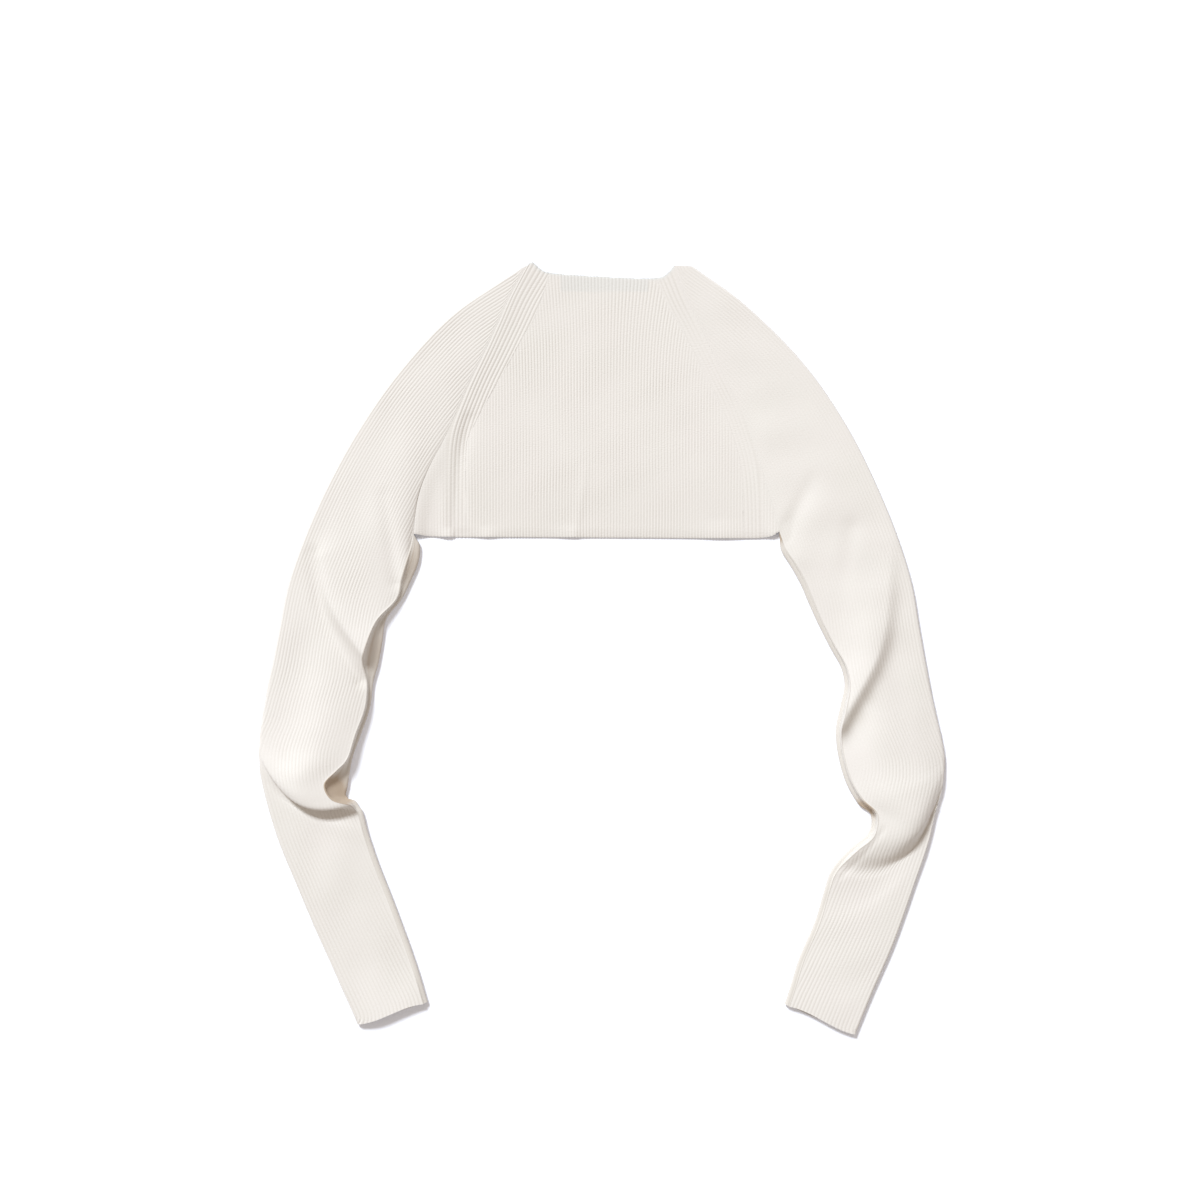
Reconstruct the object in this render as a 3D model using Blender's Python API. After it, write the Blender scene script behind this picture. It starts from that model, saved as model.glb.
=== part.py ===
"""Cropped raglan cardigan in fine rib knit, laid flat on its fronts with the back up.

Sizes and tables are in millimetres and the meshes in metres. X runs across the garment,
Y from the cuffs up to the neck, and Z rises from the surface that the garment lies on.
Left and right are the wearer's, which with the back up are also the viewer's.
"""

from collections import namedtuple

import bmesh
import bpy
import numpy as np

MM = 0.001

# Cloth
WALL = 1.6
SEAM_GAP = 0.3
RIB_RISE = 0.6
BODY_RIB = 2.8
SLEEVE_RIB_TOP = 2.8
SLEEVE_RIB_CUFF = 3.5

# A sleeve pressed flat: its height, and the radius of its folded edges
FLAT = 5.4
EDGE = 3.0
# How far a trough may sink below that height
SINK = 0.4
# Distance from the raglan seam over which the creases rise, and the distances up to which
# the underside follows the line of the upper layer fully and at all
CREASE_START = 40.0
RIM_HOLD = 60.0
RIM_REACH = 160.0
# Under layer that shows past this width sags between its edges, by this share of the rest
SHOW_FLAT = 9.0
SHOW_SAG = 0.15
# Share of the underside's width at which its last line runs beside the foot
NEAR_FOOT = 0.97

# Back panel: its height over the fronts, and how it lifts to meet the sleeves
BACK_HEIGHT = 3.9
SEAM_LIFT_WIDTH = 14.0
HEM_WAVE = 1.1
HEM_WAVE_LENGTH = 47.0
HEM_WAVE_DEPTH = 16.0
HEM_WAVE_CALM = 10.0

# Fronts: half of the opening between them, and how far the neckline is scooped
FRONT_OPENING = 2.0
FRONT_NECK_BOTTOM = 282.0
FRONT_HEM = 102.5

# Full-fashioned ribs that follow each raglan seam on the back
BAND_RIBS = 5
BAND_TURN_LEFT = -134.0
BAND_TURN_RIGHT = 133.0

# Raglan seams from the underarm up to the neck: x, y
RAGLAN_LEFT = (
    (-175.0, 106.5), (-173.0, 127.0), (-168.5, 149.0), (-159.0, 171.5), (-147.0, 194.0),
    (-135.0, 220.0), (-123.0, 247.0), (-109.0, 275.5), (-96.5, 302.5), (-85.5, 327.0),
    (-70.0, 355.5),
)
RAGLAN_RIGHT = (
    (164.5, 108.5), (160.0, 127.0), (153.5, 149.0), (147.0, 171.5), (138.5, 196.0),
    (128.5, 222.0), (116.5, 247.0), (102.5, 275.0), (90.0, 301.0), (78.0, 326.0),
    (67.0, 355.5),
)
# Back neck edge between the raglan seams, and the hem below: x, y
NECK_LINE = (
    (-70.0, 355.5), (-64.5, 358.5), (-57.0, 352.5), (-45.0, 348.5), (-2.0, 345.5),
    (36.0, 343.8), (54.0, 344.8), (61.5, 349.0), (67.0, 355.5),
)
HEM_LINE = (
    (-175.0, 106.5), (-150.0, 104.0), (-60.0, 103.5), (40.0, 103.0), (120.0, 102.5),
    (153.0, 103.5), (164.5, 108.5),
)
# Where the outer fold of each sleeve meets the neck edge: x, y
NECK_END_LEFT = (-77.0, 352.0)
NECK_END_RIGHT = (84.5, 355.0)

# Sections across a sleeve, from below the raglan seam to the cuff. Outer is the folded
# edge, seam the underarm seam and foot the edge of the under layer beside it. Bow is how
# far the section sags towards the cuff at a third and two thirds of the way across, z the
# height there and at the seam, slip how far the ribs have turned over the outer fold, and
# rows how many rows of the mesh lead up to the section.
Section = namedtuple(
    "Section",
    "outer_x outer_y seam_x seam_y foot_x foot_y bow_1 bow_2 z_1 z_2 z_seam slip rows",
)
LEFT_SECTIONS = (
    Section(-137.0, 312.0, -177.5, 96.0, -169.0, 95.0, 0.0, 4.0, 6.2, 7.0, 6.5, 0.0, 2),
    Section(-188.0, 258.0, -182.0, 81.0, -170.5, 80.0, 0.0, 2.0, 6.8, 8.5, 8.5, 0.0, 2),
    Section(-228.0, 201.0, -187.0, 64.0, -177.5, 63.0, 0.0, 0.0, 7.5, 9.5, 9.5, 0.0, 2),
    Section(-258.0, 146.0, -192.0, 46.0, -186.5, 45.0, 0.0, 0.0, 7.8, 9.5, 8.0, 0.0, 1),
    Section(-278.0, 100.0, -210.0, 26.0, -200.4, 26.5, 0.0, 0.0, 7.8, 10.0, 10.5, 0.0, 1),
    Section(-292.0, 59.0, -218.5, 6.0, -204.0, 6.0, 0.0, 0.0, 7.5, 10.0, 11.5, 0.0, 1),
    Section(-300.0, 19.0, -222.5, -12.5, -207.5, -13.5, 0.0, 0.0, 7.5, 10.0, 10.5, 0.0, 1),
    Section(-308.0, -20.0, -219.0, -33.0, -212.5, -33.0, 0.0, 0.0, 7.5, 9.0, 8.5, 0.0, 1),
    Section(-312.5, -43.0, -220.5, -53.5, -215.0, -53.5, 0.0, 0.0, 7.2, 8.5, 7.5, 2.0, 1),
    Section(-316.0, -64.5, -230.0, -80.5, -224.0, -80.5, 1.0, 1.0, 7.5, 9.0, 8.0, 5.0, 1),
    Section(-318.0, -77.5, -237.5, -103.5, -231.5, -101.0, 3.0, 3.0, 8.0, 10.5, 10.0, 9.0, 1),
    Section(-318.5, -85.0, -247.5, -113.5, -234.0, -114.0, 6.0, 6.0, 8.5, 12.5, 13.0, 11.0, 1),
    Section(-319.0, -90.5, -257.5, -126.0, -236.0, -127.0, 10.0, 9.0, 9.5, 15.0, 15.0, 13.0, 1),
    Section(-319.0, -95.5, -250.0, -140.0, -237.5, -138.0, 13.5, 14.5, 10.0, 16.5, 14.0, 14.0, 1),
    Section(-319.0, -100.0, -234.0, -145.0, -229.0, -141.5, 16.5, 19.0, 8.5, 12.5, 12.0, 15.0, 2),
    Section(-318.5, -105.5, -230.0, -149.5, -225.5, -146.5, 15.0, 12.0, 6.8, 7.0, 9.0, 15.0, 2),
    Section(-318.0, -115.0, -227.0, -155.0, -222.0, -152.0, 14.5, 14.5, 5.4, 5.4, 7.0, 15.0, 2),
    Section(-314.5, -131.5, -223.5, -168.0, -218.5, -166.0, 5.0, 5.0, 6.0, 6.2, 6.0, 15.0, 2),
    Section(-307.0, -159.5, -217.0, -188.5, -212.0, -186.5, 0.0, 0.0, 6.2, 6.6, 5.6, 15.0, 1),
    Section(-280.0, -229.0, -197.5, -239.5, -192.5, -237.5, 0.0, 0.0, 6.2, 6.4, 5.5, 15.0, 2),
    Section(-246.5, -305.5, -175.5, -301.0, -170.5, -299.0, 0.0, 0.0, 6.0, 6.0, 5.5, 15.0, 2),
    Section(-227.0, -349.0, -166.7, -330.0, -162.0, -328.0, 1.0, -1.0, 5.6, 5.6, 5.4, 15.0, 1),
)
RIGHT_SECTIONS = (
    Section(136.0, 317.0, 171.0, 92.5, 166.5, 90.5, 0.0, 4.0, 6.2, 6.8, 6.0, 0.0, 2),
    Section(187.0, 265.5, 179.5, 80.5, 174.5, 77.5, 0.0, 2.0, 6.8, 7.5, 6.0, 0.0, 2),
    Section(228.0, 206.0, 189.0, 63.5, 183.7, 61.0, 0.0, 0.0, 7.5, 8.5, 6.0, 0.0, 2),
    Section(257.5, 146.5, 196.7, 45.0, 191.5, 43.0, 0.0, 0.0, 7.5, 9.5, 6.2, 0.0, 1),
    Section(276.0, 100.0, 205.5, 24.5, 200.5, 23.0, 0.0, 0.0, 7.2, 10.5, 6.5, 0.0, 1),
    Section(288.5, 58.0, 216.7, 3.0, 212.5, -0.5, 0.0, 0.0, 7.0, 11.0, 7.0, 0.0, 2),
    Section(295.5, 17.0, 227.0, -16.5, 222.0, -18.0, 0.0, 0.0, 6.8, 10.0, 7.0, 0.0, 1),
    Section(302.0, -20.0, 230.0, -35.0, 225.0, -35.0, 0.0, 0.0, 6.8, 8.5, 6.5, 1.0, 1),
    Section(308.5, -52.5, 226.5, -55.5, 221.0, -54.5, 0.0, 0.0, 7.5, 8.0, 6.2, 4.0, 1),
    Section(315.0, -80.5, 222.5, -77.5, 217.0, -77.5, 1.0, 1.0, 10.0, 12.0, 7.0, 8.0, 1),
    Section(318.0, -96.5, 225.3, -102.0, 220.0, -103.0, 3.0, 3.0, 14.0, 16.5, 8.5, 12.0, 1),
    Section(318.5, -104.5, 232.3, -123.0, 227.0, -126.0, 5.0, 5.0, 17.0, 20.0, 11.0, 14.0, 1),
    Section(318.5, -110.0, 242.0, -139.0, 237.0, -143.0, 8.0, 8.0, 17.5, 21.5, 14.0, 15.0, 1),
    Section(318.0, -116.0, 256.0, -156.5, 250.0, -156.5, 11.0, 12.0, 15.0, 19.0, 15.0, 16.0, 1),
    Section(317.5, -122.5, 251.5, -175.5, 247.0, -171.5, 11.5, 10.5, 9.0, 12.0, 12.5, 16.5, 1),
    Section(316.0, -130.5, 229.7, -191.5, 225.0, -187.5, 13.5, 13.5, 5.4, 5.6, 8.5, 17.0, 2),
    Section(312.5, -148.5, 222.0, -207.0, 217.0, -203.0, 6.0, 5.0, 5.6, 5.4, 7.8, 17.0, 1),
    Section(304.0, -178.0, 214.5, -221.5, 209.5, -219.0, 0.0, 0.0, 6.0, 6.0, 7.0, 17.0, 1),
    Section(290.0, -220.0, 204.0, -251.5, 199.0, -249.5, 0.0, 0.0, 6.2, 6.2, 5.8, 17.0, 1),
    Section(270.5, -275.5, 188.0, -289.5, 183.0, -287.5, 0.0, 0.0, 6.2, 6.2, 5.6, 17.0, 2),
    Section(251.5, -319.5, 180.0, -315.0, 175.0, -313.0, 0.0, 0.0, 6.0, 6.0, 5.5, 17.0, 1),
    Section(235.5, -358.5, 174.3, -332.5, 169.5, -330.0, 1.0, -1.0, 5.6, 5.6, 5.4, 17.0, 1),
)

# Long creases over a sleeve: three points along the crest, the rise at its start and end,
# and the widths of its left and right sides as one goes along it. A trough has a fall.
Crease = namedtuple("Crease", "x_0 y_0 x_1 y_1 x_2 y_2 rise_0 rise_1 left_width right_width")
LEFT_CREASES = (
    Crease(-269.0, 97.0, -255.0, 31.0, -225.0, -28.0, -1.5, -2.8, 10.0, 8.0),
    Crease(-250.0, 80.0, -233.0, 36.0, -216.0, -6.0, 1.0, 3.0, 11.0, 12.0),
)
RIGHT_CREASES = (
    Crease(271.0, 72.0, 257.0, 12.0, 223.0, -52.0, 2.0, 7.0, 9.0, 26.0),
)

CREAM = (0.83, 0.78, 0.72, 1.0)

# How finely the meshes are divided, and the turn past which an edge is left sharp
SIDE_STEPS = 4
ROUND_STEPS = 2
ACROSS = 61
EDGE_COLUMN = 2
UNDER_COLUMNS = 13
CREASE_POINTS = 25
INNER_LINES = (0.07, 0.95)
SCOOP_POINTS = 9
SHARP_TURN = 50.0


def spline(knots, values, at):
    """Smooth curve through values at the knots, with slopes taken over both neighbours."""
    knots = np.asarray(knots, float)
    values = np.asarray(values, float)
    at = np.asarray(at, float)
    gaps = np.diff(knots)
    gaps_column = gaps.reshape((-1,) + (1,) * (values.ndim - 1))
    slopes = np.diff(values, axis=0) / gaps_column
    before, after = gaps_column[:-1], gaps_column[1:]
    inner = (slopes[:-1] * after + slopes[1:] * before) / (before + after)
    tangents = np.concatenate([slopes[:1], inner, slopes[-1:]])
    index = np.clip(np.searchsorted(knots, at, side="right") - 1, 0, len(gaps) - 1)
    share = ((at - knots[index]) / gaps[index]).reshape((-1,) + (1,) * (values.ndim - 1))
    span = gaps_column[index]
    start, end = values[index], values[index + 1]
    return (
        (1 + 2 * share) * (1 - share) ** 2 * start
        + share * (1 - share) ** 2 * span * tangents[index]
        + share**2 * (3 - 2 * share) * end
        + share**2 * (share - 1) * span * tangents[index + 1]
    )


def lengths_along(points):
    """Distance of each point from the first, along the line through them."""
    steps = np.linalg.norm(np.diff(points, axis=0), axis=1)
    return np.concatenate([[0.0], np.cumsum(steps)])


def along_line(points, shares):
    """Points at the given shares of a line's length, on its straight runs."""
    points = np.asarray(points, float)
    place = lengths_along(points) / lengths_along(points)[-1]
    return np.stack([np.interp(shares, place, column) for column in points.T], axis=1)


def moved_sideways(points, distance):
    """The line shifted to its left by a distance, each point along its own normal."""
    points = np.asarray(points, float)
    ahead = np.gradient(points, axis=0)
    ahead /= np.linalg.norm(ahead, axis=1)[:, None]
    return points + distance * np.stack([-ahead[:, 1], ahead[:, 0]], axis=1)


def bow_at(share, bow_1, bow_2):
    """Cubic through zero at both ends and the two bows at the thirds."""
    first = 13.5 * share * (share - 2 / 3) * (share - 1)
    second = -13.5 * share * (share - 1 / 3) * (share - 1)
    return first * bow_1 + second * bow_2


def crease_rise(creases, x, y):
    """Height that the creases add to the cloth at each place in plan."""
    rise = np.zeros_like(x)
    for crease in creases:
        ends = [(crease.x_0, crease.y_0), (crease.x_1, crease.y_1), (crease.x_2, crease.y_2)]
        line = spline([0, 1, 2], ends, np.linspace(0, 2, CREASE_POINTS))
        ahead = np.gradient(line, axis=0)
        gap_x = x[..., None] - line[:, 0]
        gap_y = y[..., None] - line[:, 1]
        nearest = np.argmin(gap_x**2 + gap_y**2, axis=-1)
        pick = nearest[..., None]
        gap_x = np.take_along_axis(gap_x, pick, -1)[..., 0]
        gap_y = np.take_along_axis(gap_y, pick, -1)[..., 0]
        on_left = ahead[nearest, 0] * gap_y - ahead[nearest, 1] * gap_x > 0
        width = np.where(on_left, crease.left_width, crease.right_width)
        share = nearest / (CREASE_POINTS - 1)
        height = crease.rise_0 + (crease.rise_1 - crease.rise_0) * share
        rise += height * np.exp(-(gap_x**2 + gap_y**2) / width**2)
    return rise


class Sleeve:
    """A flattened tube through the sections of one sleeve, with the raglan seam as its rim."""

    def __init__(self, raglan, neck_end, sections, creases, side):
        self.side = side
        self.creases = creases
        edge = moved_sideways(raglan, side * SEAM_GAP / 2)[::-1]
        self.rim = np.vstack([neck_end, edge])
        rim_place = lengths_along(self.rim)
        self.rim_shares = rim_place / rim_place[-1]
        self.across = np.unique(np.concatenate([np.linspace(0, 1, ACROSS), self.rim_shares]))
        plans = [along_line(self.rim, self.across)]
        plans += [self.section_plan(section) for section in sections]
        heights = [np.full(len(self.across), FLAT)]
        heights += [self.section_height(section) for section in sections]
        underarm = self.rim[-1]
        first = sections[0]
        toward = np.array([first.foot_x, first.foot_y]) - underarm
        toward /= np.linalg.norm(toward)
        feet = [underarm + toward * (EDGE + 2.0)]
        feet += [(section.foot_x, section.foot_y) for section in sections]
        middles = np.array([plan[len(plan) // 2] for plan in plans])
        lifts = np.array([height[len(height) // 2] for height in heights])
        self.knots = lengths_along(np.column_stack([middles, lifts]))
        self.table = np.concatenate(
            [np.array(plans), np.array(heights)[..., None]], axis=2
        )
        self.feet = np.array(feet)
        self.slips = np.array([0.0] + [section.slip for section in sections])
        self.stations = self.row_stations(sections)

    def section_plan(self, section):
        outer = np.array([section.outer_x, section.outer_y])
        chord = np.array([section.seam_x, section.seam_y]) - outer
        to_cuff = -self.side * np.array([-chord[1], chord[0]]) / np.linalg.norm(chord)
        share = self.across[:, None]
        return outer + share * chord + bow_at(share, section.bow_1, section.bow_2) * to_cuff

    def section_height(self, section):
        heights = [FLAT, section.z_1, section.z_2, section.z_seam]
        return spline([0, 1 / 3, 2 / 3, 1], heights, self.across)

    def row_stations(self, sections):
        stations = [0.0]
        for knot, next_knot, section in zip(self.knots, self.knots[1:], sections):
            stations += list(np.linspace(knot, next_knot, section.rows + 1)[1:])
        return np.array(stations)

    def surface(self, stations):
        """Rows of the upper layer, the feet beside them and the run of the outer fold."""
        rows = spline(self.knots, self.table, stations)
        feet = spline(self.knots, self.feet, stations)
        rows[0, :, :2] = self.table[0, :, :2]
        x, y, z = rows[..., 0], rows[..., 1], rows[..., 2]
        steps = np.linalg.norm(np.diff(rows[..., :2], axis=1), axis=2)
        inward = np.concatenate([np.zeros((len(rows), 1)), np.cumsum(steps, axis=1)], axis=1)
        fade = np.clip(stations / CREASE_START, 0, 1)[:, None]
        z = np.maximum(z + fade * crease_rise(self.creases, x, y), FLAT - SINK)
        rounding = np.sqrt(1 - (1 - np.clip(inward / EDGE, 0, 1)) ** 2)
        rows[..., 2] = FLAT / 2 + (z - FLAT / 2) * rounding
        return rows, feet

    def under_side(self, rows, feet):
        """The rest of each ring: down from the seam, round the foot and back underneath."""
        seam, outer = rows[:, -1, :2], rows[:, 0, :2]
        reach = feet - seam
        show = np.linalg.norm(reach, axis=1, keepdims=True)
        out = reach / show
        show = show[:, 0]
        seam_z = rows[:, -1, 2]
        recess = SHOW_SAG * np.clip(show - SHOW_FLAT, 0, None)
        columns = []
        for step in range(1, SIDE_STEPS + 1):
            share = step / SIDE_STEPS
            run = (show - EDGE) * share**1.5 - recess * np.sin(np.pi * share)
            fall = FLAT + (seam_z - FLAT) * (1 - share) ** 2
            columns.append(np.column_stack([seam + out * run[:, None], fall]))
        for angle in np.linspace(0, np.pi, 2 * ROUND_STEPS + 1)[1:]:
            place = feet - out * EDGE * (1 - np.sin(angle))
            height = np.full(len(place), FLAT / 2 * (1 + np.cos(angle)))
            columns.append(np.column_stack([place, height]))
        inward = rows[:, EDGE_COLUMN, :2] - outer
        inward /= np.linalg.norm(inward, axis=1, keepdims=True)
        start, end = feet - out * EDGE, outer + inward * EDGE
        follow_rim = (RIM_REACH - self.stations) / (RIM_REACH - RIM_HOLD)
        follow_rim = np.clip(follow_rim, 0, 1)[:, None]
        for share in self.rim_shares[1:][::-1]:
            straight = end + min(share, NEAR_FOOT) * (start - end)
            column = int(np.argmin(np.abs(self.across - share)))
            place = follow_rim * rows[:, column, :2] + (1 - follow_rim) * straight
            columns.append(np.column_stack([place, np.zeros(len(place))]))
        columns.append(np.column_stack([end, np.zeros(len(end))]))
        for angle in np.linspace(0, np.pi / 2, ROUND_STEPS + 1)[1:-1]:
            place = outer + inward * EDGE * (1 - np.sin(angle))
            height = np.full(len(place), FLAT / 2 * (1 - np.cos(angle)))
            columns.append(np.column_stack([place, height]))
        return np.stack(columns, axis=1)

    def rib_shares(self, rows):
        """Share across the section of each half rib, in every row, held inside the section."""
        plan = rows[..., :2]
        outer_line = plan[:, 0]
        start, run = outer_line[:-1], np.diff(outer_line, axis=0)
        gap = plan[:, :, None, :] - start
        share = np.clip((gap * run).sum(-1) / (run**2).sum(-1), 0, 1)
        away = np.linalg.norm(gap - share[..., None] * run, axis=-1).min(axis=-1)
        away = np.maximum.accumulate(away, axis=1)
        away += np.arange(away.shape[1]) * 1e-6
        slips = np.interp(self.stations, self.knots, self.slips)
        down = self.stations / self.stations[-1]
        pitch = SLEEVE_RIB_TOP + (SLEEVE_RIB_CUFF - SLEEVE_RIB_TOP) * down**1.5
        count = int(np.ceil(((away[:, -1] + slips) / pitch).max() * 2)) + 1
        shares = []
        for row in range(len(rows)):
            places = np.arange(count) * pitch[row] / 2 - slips[row]
            places = np.clip(places, 0, away[row, -1])
            shares.append(np.interp(places, away[row], self.across))
        return np.array(shares)


def unit(vectors):
    return vectors / np.linalg.norm(vectors, axis=-1, keepdims=True)


def normals_of(rings):
    """Unit normals of a grid of closed rings, each the mean over the faces that meet there."""
    next_rings = np.roll(rings, -1, axis=1)
    faces = np.cross(rings[1:] - next_rings[:-1], next_rings[1:] - rings[:-1])
    faces += np.roll(faces, 1, axis=1)
    normals = np.zeros_like(rings)
    normals[:-1] += faces
    normals[1:] += faces
    return unit(normals)


def end_normals(ring, foot):
    """Normals of an end ring, kept in the upright surface that its seam runs in."""
    toward_foot = np.where(np.arange(len(ring)) < foot, 1, -1)
    steps = np.roll(ring, -1, axis=0) - ring
    ahead = steps[:, :2] * toward_foot[:, None]
    behind = np.roll(ahead, 1, axis=0)
    ahead_is_longer = (ahead**2).sum(axis=1) > (behind**2).sum(axis=1)
    run = unit(np.where(ahead_is_longer[:, None], ahead, behind))
    slide = np.linalg.norm(ahead, axis=1) * toward_foot
    slide += np.roll(slide, 1)
    fall = -steps[:, 2] - np.roll(steps[:, 2], 1)
    upright = unit(np.column_stack([fall, slide]))
    return np.column_stack([upright[:, :1] * run, upright[:, 1]])


def at_shares(grid, across, shares):
    """Values of each row of a grid at that row's own shares."""
    rows = []
    for values, row_shares in zip(grid, shares):
        columns = [np.interp(row_shares, across, column) for column in values.T]
        rows.append(np.stack(columns, axis=1))
    return np.array(rows)


class Shell:
    """Vertices and faces of one solid while it is put together."""

    def __init__(self):
        self.points = []
        self.faces = []

    def add_points(self, points):
        first = len(self.points)
        self.points += [tuple(point) for point in points]
        return list(range(first, first + len(points)))

    def add_face(self, *corners):
        kept = [c for i, c in enumerate(corners) if c != corners[i - 1]]
        if len(kept) > 2 and len(set(kept)) == len(kept):
            self.faces.append(kept)

    def add_grid(self, rows):
        for row, next_row in zip(rows, rows[1:]):
            for column in range(len(row) - 1):
                self.add_face(row[column], row[column + 1], next_row[column + 1], next_row[column])

    def zip_lines(self, line, other, line_places, other_places):
        """Triangles between two lines of vertices that start and end side by side."""
        i = j = 0
        while i < len(line) - 1 or j < len(other) - 1:
            line_next = line_places[i + 1] if i < len(line) - 1 else np.inf
            other_next = other_places[j + 1] if j < len(other) - 1 else np.inf
            if line_next <= other_next:
                self.add_face(line[i], line[i + 1], other[j])
                i += 1
            else:
                self.add_face(line[i], other[j + 1], other[j])
                j += 1

    def make(self, name):
        mesh = bpy.data.meshes.new(name)
        mesh.from_pydata([(x * MM, y * MM, z * MM) for x, y, z in self.points], [], self.faces)
        form = bmesh.new()
        form.from_mesh(mesh)
        loose = [vertex for vertex in form.verts if not vertex.link_faces]
        bmesh.ops.delete(form, geom=loose, context="VERTS")
        for level in (0.0, WALL * MM):
            merge_level_faces(form, level)
        bmesh.ops.recalc_face_normals(form, faces=form.faces)
        if form.calc_volume(signed=True) < 0:
            bmesh.ops.reverse_faces(form, faces=form.faces)
        form.to_mesh(mesh)
        form.free()
        mesh.shade_smooth()
        mesh.set_sharp_from_angle(angle=np.radians(SHARP_TURN))
        thing = bpy.data.objects.new(name, mesh)
        bpy.context.scene.collection.objects.link(thing)
        mesh.materials.append(cloth_material(name))
        return thing


def merge_level_faces(form, level):
    """Dissolves the edges inside a level sheet of faces, which then has only its outline."""
    flat = {face for face in form.faces if all(abs(v.co.z - level) < 1e-7 for v in face.verts)}
    inside = [
        edge for edge in form.edges
        if len(edge.link_faces) == 2 and flat.issuperset(edge.link_faces)
    ]
    bmesh.ops.dissolve_edges(form, edges=inside, use_verts=False)
    lone = [vertex for vertex in form.verts if not vertex.link_edges]
    bmesh.ops.delete(form, geom=lone, context="VERTS")


def cloth_material(name):
    material = bpy.data.materials.new(name + "_knit")
    material.use_nodes = True
    shader = material.node_tree.nodes["Principled BSDF"]
    shader.inputs["Base Color"].default_value = CREAM
    shader.inputs["Roughness"].default_value = 0.9
    shader.inputs["Metallic"].default_value = 0.0
    return material


def merged_runs(places):
    """For each place in a row that never falls, the first index of its run of equals."""
    fresh = np.concatenate([[True], np.diff(places) > 1e-6])
    return np.maximum.accumulate(np.where(fresh, np.arange(len(places)), 0))


def build_sleeve(name, sleeve):
    rows, feet = sleeve.surface(sleeve.stations)
    rest = sleeve.under_side(rows, feet)
    rings = np.concatenate([rows, rest], axis=1)
    normals = normals_of(rings) * sleeve.side
    foot = len(sleeve.across) - 1 + SIDE_STEPS + ROUND_STEPS
    for end in (0, -1):
        normals[end] = end_normals(rings[end], foot)
    inner = rings - normals * WALL
    inner[..., 2] = np.maximum(inner[..., 2], WALL)
    across = sleeve.across
    top_count = len(across)
    shares = sleeve.rib_shares(rows)
    top = at_shares(rows, across, shares)
    height = np.where(np.arange(shares.shape[1]) % 2 == 0, 0.5, -0.5) * RIB_RISE
    inside_span = (shares > 0) & (shares < 1)
    top += at_shares(normals[:, :top_count], across, shares) * (height * inside_span)[..., None]
    top[0, :, :2] = at_shares(rows[:1, :, :2], across, shares[:1])[0]
    inner_top = at_shares(inner[:, :top_count], across, shares)

    shell = Shell()

    def closed_ring(row, strip_points, other_points):
        """A ring of vertices through the ribs of a row, whose equal ones share a vertex."""
        made = shell.add_points(strip_points)
        strip = [made[index] for index in merged_runs(shares[row])]
        return strip + shell.add_points(other_points) + [strip[0]]

    outer_rings = [closed_ring(row, top[row], rest[row]) for row in range(len(rows))]
    shell.add_grid(outer_rings)
    chosen = sorted(set(across.searchsorted([*sleeve.rim_shares, *INNER_LINES])))
    chosen += list(range(top_count + 1, top_count + SIDE_STEPS, 2))
    chosen += list(range(top_count + SIDE_STEPS, rings.shape[1]))
    inner_rings = []
    for row in range(1, len(rows) - 1):
        made = shell.add_points(inner[row, chosen])
        inner_rings.append(made + made[:1])
    shell.add_grid(inner_rings)
    for end, ring in ((0, inner_rings[0]), (-1, inner_rings[-1])):
        rim = closed_ring(end, inner_top[end], inner[end, top_count:])
        shell.add_grid([outer_rings[end], rim])
        places = np.interp(shares[end], across, np.arange(top_count))
        places = np.append(places, np.arange(top_count, rings.shape[1] + 1))
        shell.zip_lines(rim, ring, places, chosen + [rings.shape[1]])
    return shell.make(name)


def back_height(x, y, seam_distance):
    """Top of the back panel: flat on the fronts, lifted to the sleeves, waved at the hem."""
    lift = (FLAT - BACK_HEIGHT) * np.exp(-((seam_distance / SEAM_LIFT_WIDTH) ** 2))
    hem = np.exp(-np.clip(y - FRONT_HEM, 0, None) / HEM_WAVE_DEPTH)
    away = 1 - np.exp(-((seam_distance / HEM_WAVE_CALM) ** 2))
    wave = HEM_WAVE * (0.5 + 0.5 * np.sin(2 * np.pi * x / HEM_WAVE_LENGTH)) * hem * away
    return BACK_HEIGHT + lift + wave


def back_columns(row, left, right):
    """Places across one row of the back: side ribs, raglan bands and upright middle ribs."""
    half = BODY_RIB / 2
    band = np.arange(2 * BAND_RIBS + 1) * half
    left_edge, right_edge = left[row, 0], right[row, 0]
    left_band = max(left_edge, BAND_TURN_LEFT - band[-1])
    right_band = min(right_edge, BAND_TURN_RIGHT + band[-1])
    side_count = int(np.ceil((BAND_TURN_LEFT - band[-1] - left[:, 0].min()) / half)) + 1
    left_side = BAND_TURN_LEFT - band[-1] - half * np.arange(side_count, 0, -1)
    right_count = int(np.ceil((right[:, 0].max() - BAND_TURN_RIGHT - band[-1]) / half)) + 1
    right_side = BAND_TURN_RIGHT + band[-1] + half * np.arange(1, right_count + 1)
    middle_count = int((BAND_TURN_RIGHT - BAND_TURN_LEFT) / half / 2)
    middle = half * np.arange(-middle_count, middle_count + 1)
    inner_left, inner_right = left_band + band[-1], right_band - band[-1]
    places = np.concatenate([
        [left_edge],
        np.clip(left_side, left_edge, left_band),
        left_band + band,
        np.clip(middle, inner_left, inner_right),
        (right_band - band)[::-1],
        np.clip(right_side, right_band, right_edge),
        [right_edge],
    ])
    return np.maximum.accumulate(places)


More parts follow.
